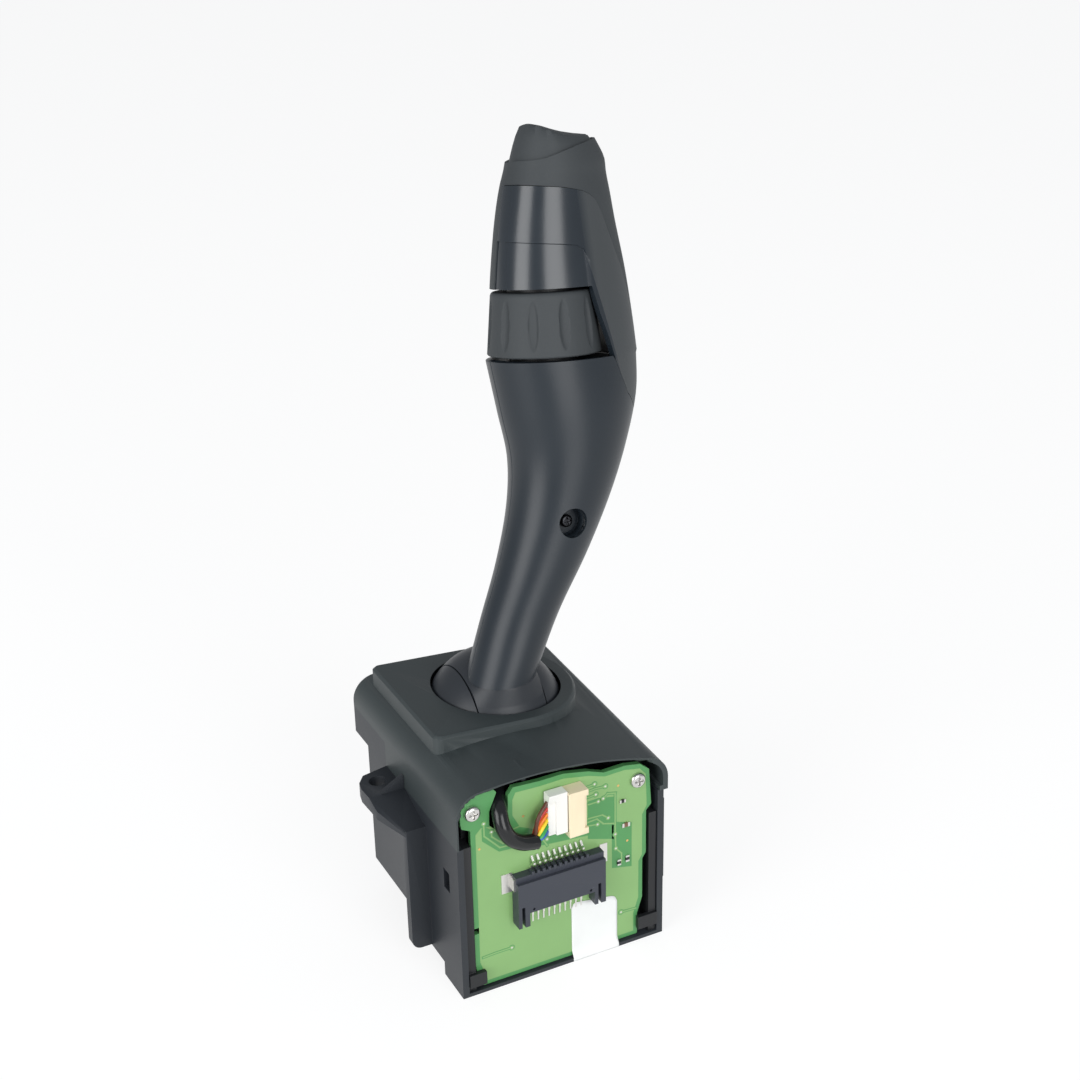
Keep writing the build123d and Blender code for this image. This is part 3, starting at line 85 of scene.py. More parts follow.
# Lines on the head: turn in degrees, from the left over the front to the right, and height
BAND_TOP_LINE = (
    (-180.0, 139.6), (-156.0, 139.5), (-130.0, 138.7), (-107.0, 137.7), (-93.0, 136.8), (-80.0, 135.7),
    (-72.0, 134.6), (-65.0, 133.0), (-58.0, 129.9), (-47.5, 121.8), (-41.6, 116.3), (-36.8, 112.7),
    (-28.2, 104.6), (-24.0, 98.0), (-20.0, 90.0), (-19.0, 87.7), (0.0, 87.5),
)
STEP_LINE = (
    (-180.0, 124.6), (-149.0, 124.0), (-127.0, 123.2), (-108.0, 122.3), (-92.0, 121.3), (-85.0, 120.0),
    (-80.0, 116.0), (-70.0, 112.0), (-60.0, 106.0), (-44.0, 100.0), (-25.0, 92.0), (-19.0, 81.0),
    (0.0, 75.0),
)
TONGUE_LINE = (
    (-81.0, 109.2), (-76.2, 101.4), (-70.2, 94.4), (-66.5, 88.8), (-59.5, 82.6), (-51.5, 77.3),
    (-32.5, 72.1), (0.0, 69.0),
)
MATTE_FOOT_LINE = ((-19.0, 87.9), (0.0, 87.8), (67.5, 88.8), (75.0, 101.0), (81.0, 109.4))
RIM_LINE = (
    (-180.0, 146.0), (-137.0, 145.7), (-124.0, 145.9), (-104.0, 147.1), (-82.0, 148.2), (-50.0, 149.2),
    (0.0, 149.6), (50.0, 149.2), (90.0, 148.0), (130.0, 146.2), (170.0, 145.4), (180.0, 146.0),
)
# Turns in degrees: where the tongue starts in the grip, and how far to each side the strip passes the ring
TONGUE_TURN = -67.5
GAP_TURN = 81.0
# Ends of the crease between the front and the strip, past which the strip is rougher and painted lighter:
# turn round the section and height
CREASE_TOP = (-82.1, 116.8)
CREASE_FOOT = (-48.7, 70.4)
SEAM = 0.12
SEAM_TURN = 0.4

# Rotary ring: its foot's middle on the lever, its lean, its form, the clearance above and below, and the
# hole for its core
RING_FOOT = (26.35, 91.0)
RING_LEAN = math.radians(4.6)
RING_HEIGHT = 18.2
RING_FOOT_RADIUS = 16.6
RING_TOP_RADIUS = 14.8
RING_FALL = (RING_FOOT_RADIUS - RING_TOP_RADIUS) / RING_HEIGHT
RING_GAP = 1.0
CORE_HOLE = 10.4

# Camera, from the photograph's edges
CAMERA_PLACE = Vector((-156.1, -423.2, 287.7))
CAMERA_AZIMUTH = math.radians(-26.51)
CAMERA_ELEVATION = math.radians(25.17)
CAMERA_ROLL = math.radians(-1.24)
CAMERA_LENS = 59.955


class StalkColours(bpy.types.PropertyGroup):
    """Colours of the switch's own plastics"""

    grip: bpy.props.FloatVectorProperty(
        name="Grip", description="Colour of the satin grip", default=(0.014, 0.020, 0.027), subtype="COLOR"
    )
    # The matte colour is also painted onto the strip at the right of the crease, as painted light
    matte: bpy.props.FloatVectorProperty(
        name="Matte parts", description="Colour of the ring, collar and button",
        default=(0.042, 0.048, 0.052), subtype="COLOR",
    )
    housing: bpy.props.FloatVectorProperty(
        name="Housing", description="Colour of the housing", default=(0.022, 0.026, 0.032), subtype="COLOR"
    )
    cover: bpy.props.FloatVectorProperty(
        name="Cover", description="Colour of the housing's cover",
        default=(0.038, 0.048, 0.050), subtype="COLOR",
    )
    board: bpy.props.FloatVectorProperty(
        name="Board", description="Colour of the board over copper",
        default=(0.245, 0.44, 0.165), subtype="COLOR",
    )
    board_dark: bpy.props.FloatVectorProperty(
        name="Bare board", description="Colour of the board where no copper lies under its lacquer",
        default=(0.09, 0.30, 0.10), subtype="COLOR",
    )


class StalkSizes(bpy.types.PropertyGroup):
    """Sizes of the finer forms"""

    edge: bpy.props.FloatProperty(
        name="Moulded edge", description="Radius of the grip's edges", default=0.35 * MM, unit="LENGTH"
    )
    shell: bpy.props.FloatProperty(
        name="Shell wall", description="Wall of the grip's shells", default=2.0 * MM, unit="LENGTH"
    )
    flutes: bpy.props.IntProperty(
        name="Flutes", description="Flutes round the rotary ring", default=11, min=3
    )
    flute_depth: bpy.props.FloatProperty(
        name="Flute depth", description="Depth of a flute", default=0.8 * MM, unit="LENGTH"
    )


class StalkStage(bpy.types.PropertyGroup):
    """Light and floor"""

    key: bpy.props.FloatProperty(
        name="Left lamp", description="Power of the tall lamp at the left", default=12.5, unit="POWER"
    )
    fill: bpy.props.FloatProperty(
        name="Front lamp", description="Power of the tall lamp in front", default=12.0, unit="POWER"
    )
    sky: bpy.props.FloatProperty(
        name="Sky", description="Strength of the surrounding light", default=0.45
    )


# Shader helpers
def shader_node(tree, kind, values=None, **settings):
    made = tree.nodes.new(kind)
    for name, value in settings.items():
        setattr(made, name, value)
    for name, value in (values or {}).items():
        made.inputs[name].default_value = value
    return made


def maths(tree, operation, *values, vector=False):
    """The result of a maths node that is fed with sockets or constants"""
    made = shader_node(tree, "ShaderNodeVectorMath" if vector else "ShaderNodeMath", operation=operation)
    for socket, value in zip(made.inputs, values):
        if isinstance(value, bpy.types.NodeSocket):
            tree.links.new(value, socket)
        else:
            socket.default_value = value
    return made.outputs["Vector" if vector and operation != "DOT_PRODUCT" else "Value"]


def ramp(tree, value, low, high):
    """Nought at the low value, one at the high value"""
    made = shader_node(tree, "ShaderNodeMapRange", {"From Min": low, "From Max": high})
    tree.links.new(value, made.inputs["Value"])
    return made.outputs["Result"]


def mixed_output(tree, kind, share, first, second):
    mix = shader_node(tree, "ShaderNodeMixShader")
    for socket, value in zip(mix.inputs, (share, first.outputs[0], second.outputs[0])):
        tree.links.new(value, socket)
    tree.links.new(mix.outputs[0], shader_node(tree, kind).inputs["Surface"])


def plain_material(name):
    material = bpy.data.materials.new(name)
    material.use_nodes = True
    material.node_tree.nodes.clear()
    return material


def moulded_group():
    """Moulded plastic: fine grain, slow mottling of shade and gloss"""
    group = bpy.data.node_groups.new("Moulded surface", "ShaderNodeTree")
    for label, kind, default in (
        ("Colour", "NodeSocketColor", (0.03, 0.03, 0.03, 1)),
        ("Grain per metre", "NodeSocketFloat", 2500.0),
        ("Roughness", "NodeSocketFloat", 0.45),
        ("Gloss spread", "NodeSocketFloat", 0.08),
        ("Shade spread", "NodeSocketFloat", 0.15),
    ):
        group.interface.new_socket(label, in_out="INPUT", socket_type=kind).default_value = default
    for label, kind in (
        ("Colour", "NodeSocketColor"), ("Roughness", "NodeSocketFloat"), ("Height", "NodeSocketFloat"),
    ):
        group.interface.new_socket(label, in_out="OUTPUT", socket_type=kind)
    entry = shader_node(group, "NodeGroupInput").outputs
    leave = shader_node(group, "NodeGroupOutput").inputs
    place = shader_node(group, "ShaderNodeTexCoord").outputs["Object"]
    grain = shader_node(group, "ShaderNodeTexNoise", {"Detail": 2.0, "Roughness": 0.6})
    mottle = shader_node(group, "ShaderNodeTexNoise", {"Scale": 55.0, "Detail": 3.0, "Roughness": 0.55})
    link = group.links.new
    link(place, grain.inputs["Vector"])
    link(place, mottle.inputs["Vector"])
    link(entry["Grain per metre"], grain.inputs["Scale"])
    centred = maths(group, "SUBTRACT", mottle.outputs["Fac"], 0.5)
    shade = maths(group, "MULTIPLY_ADD", centred, entry["Shade spread"], 1.0)
    link(maths(group, "MULTIPLY", entry["Colour"], shade, vector=True), leave["Colour"])
    gloss = maths(group, "MULTIPLY_ADD", centred, entry["Gloss spread"], entry["Roughness"])
    link(gloss, leave["Roughness"])
    link(grain.outputs["Fac"], leave["Height"])
    return group


def moulded_material(name, group, colour, roughness, grain, depth, level=0.4, metallic=0.0):
    """A finish with its grain per metre and its grain's depth in millimetres"""
    material = plain_material(name)
    tree = material.node_tree
    link = tree.links.new
    look = {"Specular IOR Level": level, "Metallic": metallic}
    shader = shader_node(tree, "ShaderNodeBsdfPrincipled", look)
    link(shader.outputs["BSDF"], shader_node(tree, "ShaderNodeOutputMaterial").inputs["Surface"])
    surface = shader_node(tree, "ShaderNodeGroup", node_tree=group)
    for label, value in (("Colour", (*colour, 1)), ("Grain per metre", grain), ("Roughness", roughness)):
        surface.inputs[label].default_value = value
    bump = shader_node(tree, "ShaderNodeBump", {"Strength": 1.0, "Distance": depth * MM})
    link(surface.outputs["Colour"], shader.inputs["Base Color"])
    link(surface.outputs["Roughness"], shader.inputs["Roughness"])
    link(surface.outputs["Height"], bump.inputs["Height"])
    link(bump.outputs["Normal"], shader.inputs["Normal"])
    return material


# The crease's width, where the bands' gloss ends and the strip is all matte and painted lighter, across
# from the crease's top, and how much rougher the strip is. The lighter colour is painted light, for the
# light the strip catches as it faces right
CREASE_WIDTH = 0.3
GLOSS_AND_LIGHT_FADE = (-0.8, 2.6)
STRIP_ROUGHER = 0.3


def matte_strip_painted_light(material, colour):
    """Leaves the strip at the right of the crease matte and paints it lighter in the given colour, as
    painted light for the light it catches facing right, where the bands stay glossy
    """
    tree = material.node_tree
    shader = tree.nodes["Principled BSDF"]
    surface = next(node for node in tree.nodes if node.type == "GROUP")
    outward = math.radians((CREASE_TOP[0] + CREASE_FOOT[0]) / 2)
    top = from_lever(on_section(HEAD_SECTIONS, CREASE_TOP[1], math.radians(CREASE_TOP[0])))
    foot = from_lever(on_section(GRIP_SECTIONS, CREASE_FOOT[1], math.radians(CREASE_FOOT[0])))
    facing = from_lever((math.cos(outward), math.sin(outward), 0)) - from_lever((0, 0, 0))
    side = facing.cross(foot - top).normalized()
    place = shader_node(tree, "ShaderNodeTexCoord").outputs["Object"]
    offset = maths(tree, "SUBTRACT", place, top, vector=True)
    crisp = ramp(tree, maths(tree, "DOT_PRODUCT", offset, side, vector=True), 0.0, CREASE_WIDTH * MM)
    parts = shader_node(tree, "ShaderNodeSeparateXYZ")
    tree.links.new(offset, parts.inputs[0])
    soft = ramp(tree, parts.outputs["X"], GLOSS_AND_LIGHT_FADE[0] * MM, GLOSS_AND_LIGHT_FADE[1] * MM)
    matte_and_light_mask = maths(tree, "MINIMUM", crisp, soft)
    # Painted light: the strip's colour is moved towards the lighter matte colour, standing in for the light
    # it catches; the rougher gloss below is its real matte finish
    painted_light_step = Vector(colour) - Vector(surface.inputs["Colour"].default_value[:3])
    painted_light_colour = maths(tree, "MULTIPLY_ADD", matte_and_light_mask, painted_light_step, surface.outputs["Colour"], vector=True)
    tree.links.new(painted_light_colour, shader.inputs["Base Color"])
    gloss = maths(tree, "MULTIPLY_ADD", matte_and_light_mask, STRIP_ROUGHER, surface.outputs["Roughness"])
    tree.links.new(gloss, shader.inputs["Roughness"])


FINISHES = {}

# Colour, roughness, grain per metre and the grain's depth in millimetres
PLASTICS = {
    "Black frame": ((0.012, 0.013, 0.015), 0.42, 2500.0, 0.02),
    "Natural bearing plastic": ((0.62, 0.60, 0.54), 0.4, 2500.0, 0.01),
    "Connector plastic": ((0.042, 0.047, 0.062), 0.4, 3500.0, 0.015),
    "Cream header": ((0.86, 0.74, 0.52), 0.42, 2500.0, 0.01),
    "White plug": ((0.85, 0.84, 0.80), 0.4, 2500.0, 0.01),
    "Black sleeve": ((0.010, 0.011, 0.012), 0.16, 900.0, 0.02),
    "Chip body": ((0.02, 0.02, 0.022), 0.5, 5000.0, 0.01),
    "Brown part": ((0.20, 0.10, 0.06), 0.5, 5000.0, 0.01),
    "Label": ((0.86, 0.87, 0.86), 0.35, 1500.0, 0.004),
    "Magnet": ((0.12, 0.12, 0.125), 0.5, 2500.0, 0.01),
}
METALS = {
    "Plated steel": ((0.66, 0.65, 0.63), 0.25, 1500.0, 0.01),
    "Tinned metal": ((0.74, 0.73, 0.70), 0.3, 1500.0, 0.01),
    "Blackened screw": ((0.035, 0.036, 0.04), 0.3, 1500.0, 0.01),
    "Gold pad": ((0.80, 0.52, 0.20), 0.35, 1500.0, 0.01),
}
WIRE_COLOURS = {
    "Brown lead": (0.10, 0.035, 0.02),
    "Red lead": (0.55, 0.02, 0.015),
    "Orange lead": (0.85, 0.22, 0.02),
    "Yellow lead": (0.85, 0.66, 0.04),
    "Green lead": (0.04, 0.35, 0.08),
    "Blue lead": (0.03, 0.12, 0.45),
}
NODE_FINISHES = {
    "Housing plastic": ("main_housing",),
    "Cover plastic": ("top_cover",),
    "Black frame": ("bearing_frame", "board_carrier", "ring_core"),
    "Natural bearing plastic": ("detent_dish", "lever_arm", "detent_plunger"),
    "Plated steel": (
        "frame_screws", "board_screws", "gimbal_pins", "cross_pins", "detent_spring", "button_pin",
    ),
    "Board lacquer": ("ring_contact_board", "tip_board"),
    "Bare board lacquer": ("circuit_board",),
    "Connector plastic": ("edge_connector",),
    "Tinned metal": ("connector_pins", "connector_tabs"),
    "Cream header": ("harness_header",),
    "White plug": ("harness_plug",),
    "Black sleeve": ("harness_sleeve", "lever_lead"),
    "Red lead": ("harness_wires",),
    "Chip body": ("board_parts", "sensor_chips", "tip_switch"),
    "Ball plastic": ("gimbal_dome", "slide_strip"),
    "Magnet": ("lever_magnet",),
    "Satin grip": ("lever_front_shell", "lever_back_shell"),
    "Blackened screw": ("shell_screw",),
    "Matte grain": ("rotary_ring", "spine_cover", "tip_button"),
    "Gloss band": ("upper_cover",),
}


def make_finishes(colours):
    group = moulded_group()
    own = {
        "Satin grip": (colours.grip, 0.36, 1800.0, 0.012),
        "Gloss band": (colours.grip, 0.24, 3200.0, 0.008, 0.6),
        "Matte grain": (colours.matte, 0.62, 4200.0, 0.03),
        "Housing plastic": (colours.housing, 0.48, 3000.0, 0.03),
        "Cover plastic": (colours.cover, 0.48, 3000.0, 0.03),
        "Ball plastic": (colours.housing, 0.42, 3500.0, 0.015),
        "Board lacquer": (colours.board, 0.3, 1200.0, 0.006),
        "Bare board lacquer": (colours.board_dark, 0.3, 1200.0, 0.006),
    }
    leads = {name: (colour, 0.3, 1500.0, 0.01) for name, colour in WIRE_COLOURS.items()}
    for name, values in {**own, **PLASTICS, **leads}.items():
        FINISHES[name] = moulded_material(name, group, *values)
    for name, values in METALS.items():
        FINISHES[name] = moulded_material(name, group, *values, metallic=1.0)
    # The strip at the right of the crease: rougher, and painted lighter as painted light
    matte_strip_painted_light(FINISHES["Gloss band"], colours.matte)


class STALK_OT_finishes(bpy.types.Operator):
    """Makes every finish and gives each carried-over node its own"""

    bl_idname = "stalk.finishes"
    bl_label = "Finishes"

    def execute(self, context):
        make_finishes(context.scene.stalk_colours)
        for finish, nodes in NODE_FINISHES.items():
            for name in nodes:
                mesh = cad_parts[name].data
                mesh.materials.clear()
                mesh.materials.append(FINISHES[finish])
        return {"FINISHED"}


# Mesh helpers. The lever is drawn square to the leaning grip, in millimetres from the neck
def from_lever(point):
    x, y, height = point
    lean_sin, lean_cos = math.sin(LEAN_BACK), math.cos(LEAN_BACK)
    return Vector((
        NECK.x + x,
        NECK.y + y * lean_cos + height * lean_sin,
        NECK.z - y * lean_sin + height * lean_cos,
    )) * MM


def from_ring(radius, turn, height):
    """A place round the ring's axis, at a height over its foot"""
    lean_sin, lean_cos = math.sin(RING_LEAN), math.cos(RING_LEAN)
    x = radius * math.cos(turn)
    return from_lever((
        RING_FOOT[0] + x * lean_cos + height * lean_sin,
        radius * math.sin(turn),
        RING_FOOT[1] - x * lean_sin + height * lean_cos,
    ))


def from_box(x, y, z):
    return (BOX_CORNER + Vector((x, y, z))) * MM


def along_line(line, at):
    if at <= line[0][0]:
        return line[0][1]
    for (x0, y0), (x1, y1) in zip(line, line[1:]):
        if at <= x1:
            return y0 + (y1 - y0) * (at - x0) / (x1 - x0)
    return line[-1][1]


def section_at(sections, height):
    """Middle, half width, half depth and sharpness, smoothly between the listed sections"""
    last = len(sections) - 1
    index = 0
    while index < last - 1 and height > sections[index + 1][0]:
        index += 1
    before = sections[max(index - 1, 0)]
    low, high = sections[index], sections[index + 1]
    after = sections[min(index + 2, last)]
    span = high[0] - low[0]
    share = (height - low[0]) / span
    values = []
    for k in range(1, 5):
        rise_low = (high[k] - before[k]) / (high[0] - before[0])
        rise_high = (after[k] - low[k]) / (after[0] - low[0])
        a = 2 * low[k] - 2 * high[k] + span * (rise_low + rise_high)
        b = -3 * low[k] + 3 * high[k] - span * (2 * rise_low + rise_high)
        values.append(((a * share + b) * share + span * rise_low) * share + low[k])
    return values


def on_section(sections, height, turn, inset=0.0):
    middle, wide, deep, sharp = section_at(sections, height)
    cosine, sine = math.cos(turn), math.sin(turn)
    return (middle + (wide - inset) * cosine, (deep - inset) * sine * (1 - sharp * cosine), height)


def ring_plane(sections, turn, height):
    """Height on the lever's skin where it meets a plane square to the ring's axis"""
    found = RING_FOOT[1] + height
    for _ in range(4):
        x = on_section(sections, found, turn)[0]
        found = RING_FOOT[1] + (height - (x - RING_FOOT[0]) * math.sin(RING_LEAN)) / math.cos(RING_LEAN)
    return found


def spread(low, high, count):
    return [low + (high - low) * index / (count - 1) for index in range(count)]


def turns(*stretches):
    """Turns in degrees over stretches that are given as start, end and step"""
    found = []
    for start, end, step in stretches:
        found += spread(start, end, max(2, round((end - start) / step) + 1))
    return found


def circle(count):
    return [2 * math.pi * index / count for index in range(count)]


def clamp(value):
    return min(max(value, 0.0), 1.0)


def grid_faces(across, tall, closed=False):
    """Faces between columns of points; closed joins the last column and the last row to the first"""
    faces = []
    for i in range(across if closed else across - 1):
        low, after = i * tall, (i + 1) % across * tall
        for j in range(tall if closed else tall - 1):
            up = (j + 1) % tall
            faces.append((low + j, after + j, after + up, low + up))
    return faces


def hoop_faces(count, hoops, start=0, flip=False):
    """Faces between hoops of points that follow each other"""
    faces = []
    for hoop in range(hoops - 1):
        low = start + hoop * count
        for index in range(count):
            here, there = low + index, low + (index + 1) % count
            if flip:
                faces.append((here, here + count, there + count, there))
            else:
                faces.append((here, there, there + count, here + count))
    return faces


def skin(columns, rows_at, point_at):
    """A grid over the turns in degrees, each column with its own heights"""
    points = []
    for turn in columns:
        for height in rows_at(turn):
            points.append(from_lever(point_at(math.radians(turn), height)))
    return points, grid_faces(len(columns), len(rows_at(columns[0])))


def linked(name, data):
    piece = bpy.data.objects.new(name, data)
    bpy.context.scene.collection.objects.link(piece)
    return piece


def new_piece(name, points, faces, finish):
    mesh = bpy.data.meshes.new(name)
    mesh.from_pydata(points, [], faces)
    mesh.validate()
    mesh.materials.append(FINISHES[finish])
    return linked(name, mesh)


def piece_from(shape, name, finish):
    mesh = bpy.data.meshes.new(name)
    shape.to_mesh(mesh)
    shape.free()
    mesh.materials.append(FINISHES[finish])
    return linked(name, mesh)


def smooth(piece, angle=35.0):
    piece.data.shade_smooth()
    piece.data.set_sharp_from_angle(angle=math.radians(angle))


def thicken(piece, wall):
    solidify = piece.modifiers.new("Wall", "SOLIDIFY")
    solidify.thickness = wall
    solidify.offset = -1.0


def round_edges(piece, edge, angle=40.0):
    bevel = piece.modifiers.new("Edge", "BEVEL")
    bevel.width = edge
    bevel.segments = 2
    bevel.limit_method = "ANGLE"
    bevel.angle_limit = math.radians(angle)
    bevel.harden_normals = True


def baked(piece):
    """The piece with its modifiers turned into a plain mesh"""
    graph = bpy.context.evaluated_depsgraph_get()
    mesh = bpy.data.meshes.new_from_object(piece.evaluated_get(graph))
    piece.modifiers.clear()
    old = piece.data
    piece.data = mesh
    bpy.data.meshes.remove(old)
    mesh.name = piece.name
    return piece


def finish_piece(piece, body, slot, *nodes):
    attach(piece, body)
    if nodes:
        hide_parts(*nodes)


# The flat lids over the grip and under the head: their distance from the skin, their wall, and how far they
# lie past the ring's gap
LID_INSET = 1.2
LID_WALL = 1.0
GRIP_LID_SINK = 0.6
HEAD_FLOOR_RISE = 0.5


def lid(name, sections, height, finish, slot, flip):
    """A flat floor or roof across the lever, square to the ring's axis, round the ring's core"""
    count = 72
    points = []
    for turn in circle(count):
        level = ring_plane(sections, turn, height)
        points.append(from_lever(on_section(sections, level, turn, LID_INSET)))
    points += [from_ring(CORE_HOLE, turn, height) for turn in circle(count)]
    piece = new_piece(name, points, hoop_faces(count, 2, flip=flip), finish)
    thicken(piece, LID_WALL * MM)
    finish_piece(baked(piece), "lever", slot)


# Angles in degrees above which an edge is rounded and below which faces are made one, and the distances in
# metres under which points of a node and of a drawn skin are doubles
EDGE_ANGLE = 38.0
FLAT_ANGLE = 0.4
NODE_DOUBLES = 2e-6
SKIN_DOUBLES = 1e-6


def softened(node, edge, body, slot, shaping=None):
    """A copy of a carried-over node with its doubles merged and its edges rounded"""
    name = node + "_soft"
    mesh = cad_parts[node].data.copy()
    mesh.name = name
    shape = bmesh.new()
    shape.from_mesh(mesh)
    bmesh.ops.remove_doubles(shape, verts=shape.verts, dist=NODE_DOUBLES)
    if shaping:
        shaping(shape)
    bmesh.ops.dissolve_limit(
        shape, angle_limit=math.radians(FLAT_ANGLE), verts=shape.verts, edges=shape.edges,
        use_dissolve_boundaries=False,
    )
    shape.to_mesh(mesh)
    shape.free()
    piece = linked(name, mesh)
    smooth(piece, EDGE_ANGLE)
    round_edges(piece, edge * MM, EDGE_ANGLE)
    finish_piece(baked(piece), body, slot, node)


# Height of the neck ring's top over the ear, and rows of points up the grip
NECK_RING_HEIGHT = 27.6
GRIP_ROWS = 56
# The screw's well: place, radius, reach of the cut, the lining's mouth and floor, its corner and its wall
WELL_PLACE = (22.9, 43.1)
WELL_RADIUS = 4.4
WELL_REACH = (-30.0, 4.0)
WELL_MOUTH = -12.0
WELL_FLOOR = -6.9
WELL_CORNER = 0.5
WELL_WALL = 0.8


class STALK_OT_grip(bpy.types.Operator):
    """Makes the two shells of the curved grip, with their seam, and the screw's well"""

    bl_idname = "stalk.grip"
    bl_label = "Grip"

    def execute(self, context):
        sizes = context.scene.stalk_sizes
        front = self.shell("grip_front", -180 + SEAM_TURN, -SEAM_TURN, sizes)
        self.well(front)
        finish_piece(baked(front), "lever", "grip_plastic", "lever_front_shell")
        back = self.shell("grip_back", SEAM_TURN, 180 - SEAM_TURN, sizes)
        finish_piece(baked(back), "lever", "grip_plastic", "lever_back_shell")
        lid("grip_lid", GRIP_SECTIONS, -RING_GAP - GRIP_LID_SINK, "Satin grip", "grip_plastic", False)
        softened("shell_screw", 0.08, "lever", "dark_screw")
        return {"FINISHED"}

    def top(self, turn):
        plane = ring_plane(GRIP_SECTIONS, math.radians(turn), -RING_GAP)
        if TONGUE_TURN < turn < 0:
            return min(plane, along_line(TONGUE_LINE, turn) - SEAM)
        return plane

    def foot(self, turn):
        found = 0.0
        for _ in range(4):
            y = on_section(GRIP_SECTIONS, found, math.radians(turn))[1]
            found = (NECK_RING_HEIGHT - NECK.z + y * math.sin(LEAN_BACK)) / math.cos(LEAN_BACK)
        return found

    def shell(self, name, start, end, sizes):
        points, faces = skin(
            turns((start, end, 2.5)),
            lambda turn: spread(self.foot(turn), self.top(turn), GRIP_ROWS),
            lambda turn, height: on_section(GRIP_SECTIONS, height, turn),
        )
        piece = new_piece(name, points, faces, "Satin grip")
        smooth(piece)
        thicken(piece, sizes.shell)
        round_edges(piece, sizes.edge)
        return piece

    def well(self, front):
        """Cuts the screw's well and lines it"""
        count = 48
        points = [point for y in WELL_REACH for point in self.hoop(WELL_RADIUS, y, count)]
        ends = [tuple(range(count)), tuple(range(count, 2 * count))[::-1]]
        cutter = new_piece("well cutter", points, hoop_faces(count, 2, flip=True) + ends, "Satin grip")
        cut = front.modifiers.new("Well", "BOOLEAN")
        cut.object = cutter
        cut.solver = "EXACT"
        front.modifiers.move(len(front.modifiers) - 1, 1)
        baked(front)
        bpy.data.objects.remove(cutter)
        finish_piece(self.cup(count), "lever", "grip_plastic")

    def hoop(self, radius, y, count):
        x, height = WELL_PLACE
        return [
            from_lever((x + radius * math.cos(turn), y, height + radius * math.sin(turn)))
            for turn in circle(count)
        ]

    def cup(self, count):
        points = self.hoop(WELL_RADIUS, WELL_MOUTH, count)
        points += self.hoop(WELL_RADIUS, WELL_FLOOR - WELL_CORNER, count)
        points += self.hoop(WELL_RADIUS - WELL_CORNER, WELL_FLOOR, count)
        points.append(from_lever((WELL_PLACE[0], WELL_FLOOR, WELL_PLACE[1])))
        faces = hoop_faces(count, 3)
        last = 2 * count
        for index in range(count):
            faces.append((last + index, last + (index + 1) % count, 3 * count))
        piece = new_piece("well_cup", points, faces, "Satin grip")
        smooth(piece)
        thicken(piece, WELL_WALL * MM)
        return baked(piece)


# Glossy front: rows of points in each band, how far the lower one is recessed, the step's half height, and
# where round the lever the recess runs out
BAND_ROWS = 22
BAND_RECESS = 0.4
STEP_HALF = 0.12
RIDGE_END = -80.0
RIDGE_WIDTH = 5.0
COLLAR_ROWS = 40
COLLAR_WALL = 0.75
# Share of the grip's wall and edge that the head has
HEAD_WALL_SHARE = 0.9
HEAD_EDGE_SHARE = 0.8
# The dark wall round the ring: how far it reaches to each side in degrees and past the ring's gaps, its
# distance from the ring, its thickness and its edge
WALL_TURN = 38.0
WALL_PAST = (0.4, 0.3)
WALL_CLEARANCE = 3.5
WALL_THICKNESS = 0.5
WALL_EDGE = 0.1


